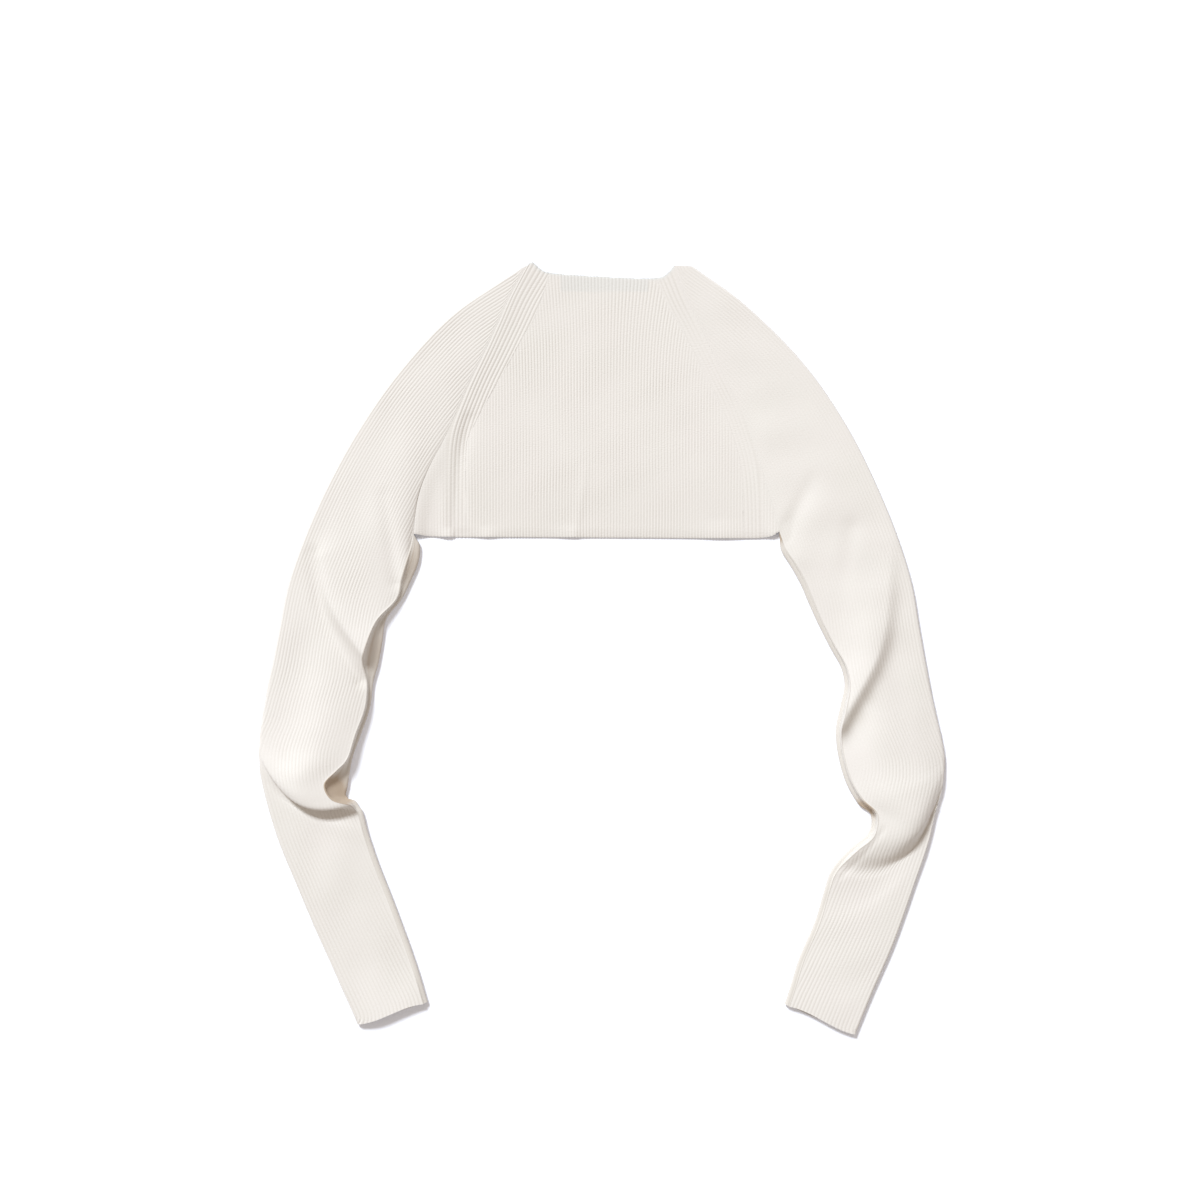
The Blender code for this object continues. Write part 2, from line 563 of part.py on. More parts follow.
def build_back():
    left = moved_sideways(RAGLAN_LEFT, -SEAM_GAP / 2)
    right = moved_sideways(RAGLAN_RIGHT, SEAM_GAP / 2)
    neck = np.array(NECK_LINE)
    hem = np.array(HEM_LINE)
    count = len(left)
    ribbed, plain = [], []
    for row in range(count):
        share = row / (count - 1)
        places = back_columns(row, left, right)
        coarse = np.linspace(left[row, 0], right[row, 0], UNDER_COLUMNS)
        for xs, target in ((places, ribbed), (coarse, plain)):
            span = (xs - left[row, 0]) / (right[row, 0] - left[row, 0])
            level = left[row, 1] + span * (right[row, 1] - left[row, 1])
            neck_x = neck[0, 0] + span * (neck[-1, 0] - neck[0, 0])
            hem_x = hem[0, 0] + span * (hem[-1, 0] - hem[0, 0])
            neck_dip = np.interp(neck_x, neck[:, 0], neck[:, 1]) - np.interp(
                neck_x, neck[[0, -1], 0], neck[[0, -1], 1]
            )
            hem_dip = np.interp(hem_x, hem[:, 0], hem[:, 1]) - np.interp(
                hem_x, hem[[0, -1], 0], hem[[0, -1], 1]
            )
            ys = level + neck_dip * share**3 + hem_dip * (1 - share) ** 3
            seam_distance = np.minimum(xs - left[row, 0], right[row, 0] - xs)
            target.append(np.column_stack([xs, ys, back_height(xs, ys, seam_distance)]))
    shell = Shell()
    top = []
    for points in ribbed:
        runs = merged_runs(points[:, 0])
        rise = np.where(np.arange(len(points)) % 2 == 0, 0.5, -0.5) * RIB_RISE
        rise[(runs == 0) | (runs == runs[-1])] = 0
        made = shell.add_points(points + np.column_stack([np.zeros((len(points), 2)), rise]))
        top.append([made[index] for index in runs])
    under = [shell.add_points(points - [0, 0, WALL]) for points in plain[1:-1]]
    shell.add_grid(top)
    shell.add_grid(under)
    for end in (0, -1):
        points = ribbed[end]
        made = shell.add_points(points - [0, 0, WALL])
        rim = [made[index] for index in merged_runs(points[:, 0])]
        shell.add_grid([top[end], rim])
        span = points[-1, 0] - points[0, 0]
        places = (points[:, 0] - points[0, 0]) / span
        shell.zip_lines(rim, under[end], places, np.linspace(0, 1, UNDER_COLUMNS))
        under.insert(end % (len(under) + 1), rim)
    for end in (0, -1):
        shell.add_grid([[line[end] for line in top], [line[end] for line in under]])
    return shell.make("back_panel")


def build_front(name, raglan, side):
    """One front, flat on the surface: raglan edge, scooped neck, straight opening and hem."""
    edge = moved_sideways(raglan, -side * SEAM_GAP / 2)
    top = edge[-1]
    middle_x = -side * FRONT_OPENING
    scoop = []
    for share in np.linspace(0, 1, SCOOP_POINTS)[1:]:
        x = top[0] + (middle_x - top[0]) * share
        y = FRONT_NECK_BOTTOM + (top[1] - FRONT_NECK_BOTTOM) * (1 - share) ** 2.2
        scoop.append((x, y))
    outline = [tuple(point) for point in edge] + scoop
    outline += [(middle_x, FRONT_HEM), ((middle_x + edge[0][0]) / 2, FRONT_HEM - 0.5)]
    shell = Shell()
    lower = shell.add_points([(x, y, 0.0) for x, y in outline])
    upper = shell.add_points([(x, y, WALL) for x, y in outline])
    shell.add_face(*lower)
    shell.add_face(*upper)
    for i, corner in enumerate(lower):
        shell.add_face(lower[i - 1], corner, upper[i], upper[i - 1])
    return shell.make(name)


def clear_scene():
    for thing in list(bpy.data.objects):
        bpy.data.objects.remove(thing, do_unlink=True)


def main():
    clear_scene()
    build_back()
    build_front("front_panel_left", RAGLAN_LEFT, 1)
    build_front("front_panel_right", RAGLAN_RIGHT, -1)
    left = Sleeve(RAGLAN_LEFT, NECK_END_LEFT, LEFT_SECTIONS, LEFT_CREASES, 1)
    build_sleeve("sleeve_left", left)
    right = Sleeve(RAGLAN_RIGHT, NECK_END_RIGHT, RIGHT_SECTIONS, RIGHT_CREASES, -1)
    build_sleeve("sleeve_right", right)


main()
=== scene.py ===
"""The looks of a cropped raglan cardigan in fine rib knit, laid flat with its back up.

Tables and sizes are in millimetres and the meshes in metres. X runs across the garment,
Y from the cuffs up to the neck, and Z rises from the surface that the garment lies on.
Left and right are the wearer's, which with the back up are also the viewer's.
"""

from collections import namedtuple

import bmesh
import bpy
import numpy as np
from bpy.props import FloatProperty, FloatVectorProperty, PointerProperty
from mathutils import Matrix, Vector


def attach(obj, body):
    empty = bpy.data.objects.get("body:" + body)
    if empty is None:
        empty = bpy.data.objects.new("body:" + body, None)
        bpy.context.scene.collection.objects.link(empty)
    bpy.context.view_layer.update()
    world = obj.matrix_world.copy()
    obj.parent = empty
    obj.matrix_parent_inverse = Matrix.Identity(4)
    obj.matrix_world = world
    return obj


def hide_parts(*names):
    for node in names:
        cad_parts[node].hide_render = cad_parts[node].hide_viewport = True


bl_info = {
    "name": "Rib-knit cardigan, laid flat",
    "version": (1, 0, 0),
    "blender": (4, 5, 0),
    "location": "View3D > Sidebar > Cardigan",
    "description": "Builds the ribbed panels and sleeves of a cropped cardigan and its studio",
    "category": "Add Mesh",
}

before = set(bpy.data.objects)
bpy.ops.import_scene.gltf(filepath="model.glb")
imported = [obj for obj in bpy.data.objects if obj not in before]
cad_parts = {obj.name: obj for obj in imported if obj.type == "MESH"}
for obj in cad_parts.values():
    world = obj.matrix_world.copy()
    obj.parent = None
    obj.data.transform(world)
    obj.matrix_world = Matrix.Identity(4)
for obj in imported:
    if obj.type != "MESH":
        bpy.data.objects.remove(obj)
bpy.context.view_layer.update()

MM = 0.001
FINISH = "cream_rib_knit"

# A sleeve pressed flat: its height, the radius of its folded edges, and how far its upper
# layer may sink. Creases and relief grow to their full height over the two distances.
FLAT, EDGE, SINK = 5.4, 3, 0.3
CREASE_START, RELIEF_START = 40, 20
SLEEVE_RELIEF = 0.3
# How much of the under layer shows at the underarm
UNDERARM_SHOW = 5
# Its under layer follows the raglan seam, and from RIM_HOLD to RIM_REACH below it turns straight
RIM_HOLD, RIM_REACH = 60, 160
NEAR_FOOT = 0.97
# The side beside its seam: a small ridge, as shares of the width and rises, and then a wall
# that sags inwards by a share of what shows beyond SHOW_FLAT
RIDGE = ((0.25, 0.15), (0.5, 0.25), (0.75, 0.15), (1, 0))
RIDGE_MOST, RIDGE_SHARE = 1.5, 0.5
SHOW_FLAT, SHOW_SAG = 9, 0.15
WALL_SPREAD = 1.5

# Back panel: its height over the surface, its length, and how it lifts to meet the sleeves.
# The curves of its neck and hem fade over its length with a power.
BACK_HEIGHT, BACK_LENGTH = 3.9, 250
BACK_RELIEF, BACK_RELIEF_START = 0.15, 25
CURVE_FADE = 3
SEAM_LIFT_WIDTH = 14
SEAM_DIP, SEAM_DIP_WIDTH = 0.03, 1
# How far it falls at the hem and how far up that reaches, and the least space under it
HEM_DROPS = ((2, 45), (0.55, 5))
HEM_CLEAR = 0.1

# Fronts: half of the opening, the scoop of the neckline, the hem, which rises over a share of
# the width, the share of the wall that they keep under the back, and how far their edges are
# pressed down. The back climbs onto them over the last distance.
FRONT_OPENING = 2
FRONT_NECK_BOTTOM, FRONT_NECK_CURVE = 282, 2.2
FRONT_HEM, FRONT_HEM_TURN = 113, 0.25
FRONT_WALL, FRONT_EDGE = 0.5, 0.35
OVER_FRONTS = 8

# Raglan seams from the underarm up to the neck: x, y
RAGLAN_LEFT = (
    (-175, 106.5), (-173, 127), (-168.5, 149), (-159, 171.5), (-147, 194),
    (-135, 220), (-123, 247), (-109, 275.5), (-96.5, 302.5), (-85.5, 327),
    (-70, 355.5),
)
RAGLAN_RIGHT = (
    (164.5, 108.5), (160, 127), (153.5, 149), (147, 171.5), (138.5, 196),
    (128.5, 222), (116.5, 247), (102.5, 275), (90, 301), (78, 326),
    (67, 355.5),
)
# Back neck edge between the raglan seams, and the hem below: x, y
NECK_LINE = (
    (-70, 355.5), (-64.5, 358.5), (-57, 352.5), (-45, 348.5), (-2, 345.5),
    (36, 343.8), (54, 344.8), (61.5, 349), (67, 355.5),
)
HEM_LINE = (
    (-175, 106.5), (-150, 104), (-60, 103.5), (40, 103), (120, 102.5),
    (153, 103.5), (164.5, 108.5),
)

# Sections across a sleeve, from below the raglan seam to the cuff. Outer is the folded
# edge, seam the underarm seam and foot the edge of the under layer beside it. Bow is how
# far the section sags towards the cuff at a third and two thirds of the way across, z the
# height there and at the seam, and slip how far the ribs have turned over the outer fold.
Section = namedtuple(
    "Section",
    "outer_x outer_y seam_x seam_y foot_x foot_y bow_1 bow_2 z_1 z_2 z_seam slip",
)
LEFT_SECTIONS = [Section(*row) for row in (
    (-137, 312, -177.5, 96, -169, 95, 0, 4, 6.2, 7, 6.5, 0),
    (-188, 258, -182, 81, -170.5, 80, 0, 2, 6.8, 9, 10, 0),
    (-228, 201, -187, 64, -177.5, 63, 0, 0, 7.5, 9.5, 11, 0),
    (-258, 146, -192, 46, -186.5, 45, 0, 0, 7.8, 9.5, 8, 0),
    (-278, 100, -210, 26, -200.4, 26.5, 0, 0, 7.8, 10.5, 12, 0),
    (-292, 59, -218.5, 6, -204, 6, 0, 0, 7.5, 11, 14, 0),
    (-300, 19, -222.5, -12.5, -207.5, -13.5, 0, 0, 7.5, 11, 13, 0),
    (-308, -20, -219, -33, -212.5, -33, 0, 0, 7.8, 12, 10.5, 0),
    (-312.5, -43, -220.5, -53.5, -215, -53.5, 0, 0, 8.5, 13.5, 11, 2),
    (-316, -64.5, -230, -80.5, -224, -80.5, 1, 1, 9.5, 15.5, 12.5, 5),
    (-318, -77.5, -237.5, -103.5, -231.5, -101, 3, 3, 10.5, 17, 14.5, 9),
    (-318.5, -85, -247.5, -113.5, -234, -114, 6, 6, 11, 18.5, 16, 11),
    (-319, -90.5, -257.5, -126, -236, -127, 10, 9, 11.5, 19.5, 18, 13),
    (-319, -95.5, -250, -140, -237.5, -138, 13.5, 14.5, 11.5, 19.5, 18, 14),
    (-319, -100, -234, -145, -229, -141.5, 17, 20, 9.5, 16, 16, 15),
    (-318.5, -105.5, -230, -149.5, -225.5, -146.5, 14, 11, 6.8, 6.6, 8.5, 15),
    (-318, -115, -227, -155, -222, -152, 14.5, 14.5, 5.2, 5, 5.6, 15),
    (-314.5, -131.5, -223.5, -168, -218.5, -166, 5, 5, 6, 6.2, 6, 15),
    (-307, -159.5, -217, -188.5, -212, -186.5, 0, 0, 6.2, 6.6, 5.6, 15),
    (-280, -229, -197.5, -239.5, -192.5, -237.5, 0, 0, 6.2, 6.4, 5.5, 15),
    (-246.5, -305.5, -175.5, -301, -170.5, -299, 0, 0, 6.6, 6.6, 5.5, 15),
    (-227, -349, -166.7, -330, -162, -328, 1, -1, 9.5, 9, 6.8, 15),
)]
RIGHT_SECTIONS = [Section(*row) for row in (
    (136, 317, 171, 92.5, 166.5, 90.5, 0, 4, 6.2, 6.8, 6, 0),
    (187, 265.5, 179.5, 80.5, 174.5, 77.5, 0, 2, 6.8, 7.5, 6, 0),
    (228, 206, 189, 63.5, 183.7, 61, 0, 0, 7.5, 8.5, 6, 0),
    (257.5, 146.5, 196.7, 45, 191.5, 43, 0, 0, 7.5, 9.5, 6.2, 0),
    (276, 100, 205.5, 24.5, 200.5, 23, 0, 0, 7.2, 10.5, 6.5, 0),
    (288.5, 58, 216.7, 3, 212.5, -0.5, 0, 0, 7, 11, 7, 0),
    (295.5, 17, 227, -16.5, 222, -18, 0, 0, 6.8, 10, 7, 0),
    (302, -20, 230, -35, 225, -35, 0, 0, 8, 11, 6.8, 1),
    (308.5, -52.5, 226.5, -55.5, 221, -54.5, 0, 0, 10, 12.5, 7, 4),
    (315, -80.5, 222.5, -77.5, 217, -77.5, 1, 1, 12.5, 15.8, 9, 8),
    (318, -96.5, 225.3, -102, 220, -103, 3, 3, 14.2, 17.3, 11, 12),
    (318.5, -104.5, 232.3, -123, 227, -126, 5, 5, 15.5, 19, 13, 14),
    (318.5, -110, 242, -139, 237, -143, 8, 8, 16.5, 20.5, 15, 15),
    (318, -116, 256, -156.5, 250, -156.5, 13, 19, 14, 20.3, 17, 16),
    (317.5, -122.5, 252.5, -173.5, 248, -170, 14.5, 20, 11.2, 17.5, 16.5, 16.3),
    (317, -126, 238, -187, 233.5, -183, 18, 24.5, 7.8, 12, 13, 16.7),
    (316, -130.5, 224, -201, 218.5, -198, 22, 27, 5.4, 5.4, 7, 17),
    (311, -148.5, 217, -210, 212, -208, 19, 26, 5.4, 5.2, 6.6, 17),
    (304, -178, 212, -224, 207, -222, 16, 20, 5.6, 5.5, 6.2, 17),
    (290, -220, 204, -251.5, 199, -249.5, 5, 5, 6.2, 6.2, 5.8, 17),
    (270.5, -275.5, 188, -289.5, 183, -287.5, 0, 0, 6.2, 6.2, 5.6, 17),
    (251.5, -319.5, 180, -315, 175, -313, 0, 0, 6, 6, 5.5, 17),
    (235.5, -358.5, 174.3, -332.5, 169.5, -330, 1, -1, 5.6, 5.6, 5.4, 17),
)]

# Long creases over the cloth: three points along the crest, the rise at its start and end,
# and the widths of its left and right sides as one goes along it. A trough has a fall.
Crease = namedtuple("Crease", "x_0 y_0 x_1 y_1 x_2 y_2 rise_0 rise_1 left_width right_width")
LEFT_CREASES = (
    Crease(-269, 87, -258, 31, -224, -29, -2, -3, 7, 6),
    Crease(-260, 82, -249, 38, -218, -8, 2.2, 6.2, 17, 5.5),
    Crease(-202, 142, -197, 107, -190, 62, -0.8, -2.2, 6, 7),
)
RIGHT_CREASES = (
    Crease(267, 92, 257.5, 6, 221.5, -66, 1, 12.8, 9, 26),
    Crease(212, 150, 197, 122, 184, 86, 0.2, 1, 14, 10),
    Crease(196, 158, 183, 134, 170, 106, -0.4, -1.8, 7, 7),
    Crease(232, 112, 226, 75, 221, 34, -1, -0.2, 9, 9),
    Crease(260, -168, 243, -190, 222, -212, -0.7, -0.5, 2.8, 2.8),
)
BACK_CREASES = (
    Crease(-124, 212, -133.5, 165, -132.5, 104, -1.2, -1.8, 7, 5.5),
    Crease(-152, 172, -147, 140, -146, 104, 0.2, 1, 8, 6),
    Crease(-15, 166, -19, 140, -25, 104, 0.2, 0.5, 4, 5),
    Crease(-142, 112, -142, 108, -142, 104, 0, 1.6, 8, 8),
    Crease(-106, 114, -106, 109, -106, 104, 0, 1.3, 9, 9),
    Crease(-30, 116, -30, 110, -30, 104, 0, 0.9, 12, 12),
    Crease(112, 120, 112, 112, 112, 103, 0, 1.3, 18, 18),
)

# Painted shade where one looks into a sleeve between its layers: the middle, how far the
# shade reaches and how deep it is. Fold shades are the same for the painted shade in a fold of
# the upper layer, and lips are where the wall is thinned at a sharp turn.
Pocket = namedtuple("Pocket", "x y reach depth")
POCKET_SHADES = (
    Pocket(-251, -130, 12, 3), Pocket(-242, -139, 9, 3),
    Pocket(243.5, -149, 8, 3), Pocket(163, 104, 5, 3),
    Pocket(-178, 80, 26, 0.7), Pocket(-209, -2, 24, 0.6),
)
FOLD_SHADES = (
    Pocket(236, -63, 10, 0.9), Pocket(247, -44, 8, 0.6),
    Pocket(257, -23, 7, 0.3), Pocket(-223.5, -33, 6.5, 0.5),
    Pocket(-190, 57, 6, 0.4),
)
LIPS = (
    Pocket(-245, -141, 9, 1), Pocket(252, -158, 8, 1),
    Pocket(227.6, -20, 8, 1),
)

# One whole sleeve: neck_end is where its outer fold meets the neck edge, side is 1 for the
# left one and -1 for the right one, fall the bend of its side wall and rib_share how much its
# ribs rise
SleeveForm = namedtuple("SleeveForm", "raglan neck_end sections creases side fall rib_share")
LEFT_FORM = SleeveForm(RAGLAN_LEFT, (-77, 352), LEFT_SECTIONS, LEFT_CREASES, 1, 1, 0.88)
RIGHT_FORM = SleeveForm(RAGLAN_RIGHT, (84.5, 355), RIGHT_SECTIONS, RIGHT_CREASES, -1, 1.5, 0.65)

# Where the knit is pulled smooth: the middle, how wide and high, and the share of rib lost
Calm = namedtuple("Calm", "x y wide high loss")
CALMS = (
    Calm(-312, -100, 12, 30, 0.85), Calm(-272, -138, 34, 13, 0.9),
    Calm(-240, -92, 14, 34, 0.75), Calm(-225, -200, 16, 26, 0.7),
    Calm(-206, 60, 14, 50, 0.6), Calm(-215, 150, 26, 60, 0.35),
    Calm(165, 190, 60, 80, 0.7), Calm(225, 60, 26, 50, 0.5),
    Calm(236, -100, 14, 40, 0.8), Calm(262, -158, 30, 22, 0.7),
    Calm(98, 290, 20, 60, 0.55),
)

# Inner edge of the bold ribs beside each raglan seam, from the hem up: x, y
LEFT_BAND = (
    (-130, 100), (-130.5, 180), (-130, 194), (-122, 208), (-108.8, 231),
    (-94.9, 254), (-80, 282), (-67, 305.5), (-53, 338), (-50, 362),
)
RIGHT_BAND = (
    (136, 100), (134, 180), (125, 210), (111.6, 231), (102.3, 254),
    (91.1, 277.5), (80, 301), (65.1, 324), (54, 342), (50, 362),
)
# Outside these the ribs run upright again
BAND_TURN_LEFT, BAND_TURN_RIGHT = -144, 148
# Width of a bold rib, least width of a band and roundness of its turns
BAND_PITCH, BAND_LEAST, BAND_ROUND = 3.5, 12, 8
# How high bold ribs stand, and where the left band is clearest
BOLD, BOLD_LEAST, BOLD_MORE = 1.1, 0.85, 0.4
BOLD_MIDDLE, BOLD_REACH = 232, 55

# Ribs of the back: from FAN_START up they fan out by a share, and they sway a little
FAN_START, FAN_HEIGHT = 230, 120
FAN_LEFT, FAN_RIGHT = 0.10, 0.20
SWAY, SWAY_UP, SWAY_ACROSS = 0.25, 17, 31
# They fade at the seams, where they meet the bands, and in the calm strip at the left side
SEAM_FADE, BOLD_SEAM_FADE = 2, 1.5
MEETING_LOSS, MEETING_WIDTH = 0.5, 2.5
SIDE_CALM, SIDE_CALM_WIDTH, SIDE_CALM_EDGE = 0.75, 26, 8
TURN_INSIDE, TURN_EDGE = 2, 3
BARELY_CALM = 0.05

# Neck and hem edges of the back: pressed down, scalloped by the ribs and given a little painted shade
RIM_PRESS, RIM_PRESS_WIDTH = 0.3, 0.8
SCALLOP, SCALLOP_LEVEL = 0.35, 0.3
NECK_RIPPLE, NECK_RIPPLE_SHORT, NECK_RIPPLE_LONG = 0.3, 2.3, 7.1
NECK_SHADE, HEM_SHADE, RIM_SHADE_WIDTH = 0.7, 0.15, 0.9

# Faint tint of a tape behind the neck, with a line along the edge
TAPE_LEFT, TAPE_RIGHT, TAPE_FOOT = -40, 45, 330
TAPE_EDGE, TAPE_TINT = 3, 0.36
NECK_LINE_TINT, NECK_LINE_WIDTH = 0.75, 1.6

# Ribs of a sleeve keep apart by at least a share of the run. They widen towards the cuff and
# wander in waves, each with its size, length and start.
LEAST_SPREAD = 0.2
PITCH_BEND = 1.5
WANDERS, WANDER_START = ((0.25, 23, 0), (0.2, 9, 1)), 30
# They fade at the underarm seam, over the outer fold and at the raglan seam
SEAM_EDGE_FADE = 2.6
FOLD_FADE_START, FOLD_FADE = 0.6, 1.2
RIM_FADE = 2.2

# How clearly all ribs stand out: on average, in waves from short to long ones, and its limits
CLEAR, CLEAR_WAVE, CLEAR_LENGTHS, CLEAR_LIMITS = 0.85, 0.2, (30, 160), (0.45, 1.2)
# Starts of the random draws
SLEEVE_SEED, BACK_SEED, SLEEVE_CLEAR_SEED, BACK_CLEAR_SEED = 3, 11, 5, 8

# Painted shade of the knit: on a side wall and what its foot adds, underneath, on the lines
# beside a seam, inside, and on the rim of a panel. Above INSIDE_FROM it turns to the pocket
# shade colour, a deeper painted shade, at the rate of INSIDE_GROWTH.
WALL_SHADE, FOOT_SHADE = 0.8, 0.5
UNDER_SHADE, INSIDE_SHADE, PANEL_RIM_SHADE = 0.2, 0.6, 0.4
SEAM_LINES, SEAM_LINE_SHADE = (1, 4, 8), 0.5
INSIDE_FROM, INSIDE_GROWTH = 1.2, 0.7
# The yarn has patches of two tints. Grooves get painted shade, also those that are drawn
# without relief, and the bump is of drawn ribs and loose fibres.
COOL, WARM, TINT_SCALE = (0.99, 1, 0.985), (1.01, 0.993, 1), 16.0
GROOVE_SHADE, DRAWN_SHADE = 0.9, 0.7
DRAWN_BUMP, FIBRE_BUMP, FIBRE_SCALE = 0.3, 0.22, 1.3

# How the meshes are divided: lines to a rib and the power that rounds it, space between rows,
# and points and steps over the rest
RIB_LINES, RIB_SHAPE = 6, 0.75
ROW_STEP, FIRST_ROWS = 2.7, (0, 0.7, 1.5)
SEAM_POINTS, ACROSS, CREASE_POINTS, CURVE_POINTS = 81, 61, 41, 400
SIDE_STEPS, ROUND_STEPS, UNDER_COLUMNS = 8, 4, 14
FOOT_COLUMN = len(RIDGE) + SIDE_STEPS + ROUND_STEPS
SPARE_RIBS = 3
BACK_ROWS, BACK_END_ROWS = 118, (0.002, 0.005, 0.995, 0.998)
FRONT_ROWS, FRONT_COLUMNS = 121, 71
# The inside has a row for every INNER_STEP outside, and the line of an outer fold a point for
# every FOLD_STEP rows. Seen from there, INWARD_COLUMN lies inwards.
INNER_STEP, FOLD_STEP, INWARD_COLUMN = 4, 4, 3
# A crease reaches this many of its widths, faces that turn by more degrees meet at a sharp
# edge, a stitch is this long, and a lip loses this share of its wall
CREASE_REACH, SHARP_TURN, STITCH, LIP_THINNING = 2.5, 75, 1.15, 0.8
SAME_PLACE, SMALL = 1e-5, 1e-9

# Studio, in metres: the floor lies just under the garment, and the sun is a broad disc
FLOOR_SIZE, FLOOR_DEPTH = 60, 0.0003
FLOOR_GLOW_COLOUR = (0.84, 0.87, 1, 1)
SKY_COLOUR = (1, 0.88, 0.775, 1)
KEY_COLOUR, KEY_DEGREES = (0.875, 0.93, 0.985), 14
KEY_PLACE = (-1.45, 2.45, 2.7)
VIEW_CENTRE, LENS = (-0.0019, 0.0451, 0), 85


def width_property(name, description, default, least=1.5, most=6.0):
    """A setting for a width or thickness in millimetres."""
    return FloatProperty(
        name=name, description=description + ", in millimetres",
        default=default, min=least, max=most,
    )


def amount_property(name, description, default, **limits):
    """A setting for an amount, which is never negative."""
    return FloatProperty(name=name, description=description, default=default, min=0.0, **limits)


def colour_property(name, description, default):
    """A setting for a colour."""
    return FloatVectorProperty(
        name=name, description=description, subtype="COLOR",
        size=3, default=default, min=0.0, max=1.0,
    )


class CardiganCloth(bpy.types.PropertyGroup):
    """Sizes and colours of the knit"""

    wall: width_property("Wall", "Thickness of the knit between its faces", 1.2, 1.0, 3.0)
    seam_gap: width_property("Seam gap", "Space between two pieces at a seam", 0.02, 0.01, 1.0)
    rib_rise: width_property("Rib rise", "Height of a rib over its groove", 0.41, 0.0, 1.5)
    body_rib: width_property("Body rib", "Width of a rib of the back", 2.8)
    sleeve_rib_top: width_property("Sleeve rib at the top", "Width at the shoulder", 2.8)
    sleeve_rib_cuff: width_property("Sleeve rib at the cuff", "Width at the cuff", 3.5)
    yarn_colour: colour_property("Yarn", "Colour of the yarn in full light", (0.79, 0.766, 0.735))
    # Painted shade: the colour that the grooves between the ribs turn to
    groove_shade_colour: colour_property("Groove", "Colour deep between the ribs", (0.71, 0.68, 0.635))
    tape_colour: colour_property("Neck tape", "Tint behind the neck", (0.65, 0.67, 0.66))
    # Painted shade: the colour that the dark between the layers turns to
    pocket_shade_colour: colour_property("Inside", "Colour between the layers", (0.50, 0.41, 0.32))


class CardiganStudio(bpy.types.PropertyGroup):
    """Floor, lights and view"""

    floor_colour: colour_property("Floor", "Colour of the floor", (0.91, 0.935, 1.0))
    floor_glow: amount_property("Floor glow", "How much light the floor gives", 0.12, max=1.0)
    key_power: amount_property("Key light", "Strength of the light from the upper left", 3.36)
    sky_strength: amount_property("Room light", "Strength of the light from all round", 0.47)
    view_width: FloatProperty(
        name="View width", description="Width of what the camera shows at the floor",
        default=1.116, min=0.1, unit="LENGTH",
    )


# Lines and curves


def spline(knots, values, at):
    """Smooth curve through values at the knots, with slopes taken over both neighbours."""
    knots = np.asarray(knots, float)
    values = np.asarray(values, float)
    at = np.asarray(at, float)
    gaps = np.diff(knots)
    gaps_column = gaps.reshape((-1,) + (1,) * (values.ndim - 1))
    slopes = np.diff(values, axis=0) / gaps_column
    before, after = gaps_column[:-1], gaps_column[1:]
    inner = (slopes[:-1] * after + slopes[1:] * before) / (before + after)
    tangents = np.concatenate([slopes[:1], inner, slopes[-1:]])
    index = np.clip(np.searchsorted(knots, at, side="right") - 1, 0, len(gaps) - 1)
    share = ((at - knots[index]) / gaps[index]).reshape((-1,) + (1,) * (values.ndim - 1))
    span = gaps_column[index]
    start, end = values[index], values[index + 1]
    return (
        (1 + 2 * share) * (1 - share) ** 2 * start
        + share * (1 - share) ** 2 * span * tangents[index]
        + share**2 * (3 - 2 * share) * end
        + share**2 * (share - 1) * span * tangents[index + 1]
    )


def lengths_along(points):
    """Distance of each point from the first, along the line through them."""
    steps = np.linalg.norm(np.diff(points, axis=0), axis=1)
    return np.concatenate([[0.0], np.cumsum(steps)])


def along_line(points, shares):
    """Points at the given shares of a line's length, on its straight runs."""
    points = np.asarray(points, float)
    place = lengths_along(points) / lengths_along(points)[-1]
    return np.stack([np.interp(shares, place, column) for column in points.T], axis=1)


def smooth_line(points, count):
    """A smooth curve through the points, in a number of steps."""
    points = np.asarray(points, float)
    return spline(np.arange(len(points)), points, np.linspace(0, len(points) - 1, count))


def distances_from(line, rows):
    """Least distance in plan from a line to each point of each row."""
    start, run = line[:-1], np.diff(line, axis=0)
    away = np.empty(rows.shape[:2])
    for row, points in enumerate(rows):
        gap = points[:, None, :] - start
        share = np.clip((gap * run).sum(-1) / (run**2).sum(-1), 0, 1)
        away[row] = np.linalg.norm(gap - share[..., None] * run, axis=-1).min(axis=-1)
    return away


def moved_sideways(points, distance):
    """The line shifted to its left by a distance, each point along its own normal."""
    ahead = unit(np.gradient(points, axis=0))
    return points + distance * np.stack([-ahead[:, 1], ahead[:, 0]], axis=1)


def unit(vectors):
    """The vectors at a length of one, and those without a length as they are."""
    size = np.linalg.norm(vectors, axis=-1, keepdims=True)
    return vectors / np.maximum(size, SMALL)


def near(distance, width):
    """One at no distance, fading out over a width."""
    return np.exp(-((distance / width) ** 2))


def bow_at(share, bow_1, bow_2):
    """Cubic through zero at both ends and the two bows at the thirds."""
    first = 13.5 * share * (share - 2 / 3) * (share - 1)
    second = -13.5 * share * (share - 1 / 3) * (share - 1)
    return first * bow_1 + second * bow_2


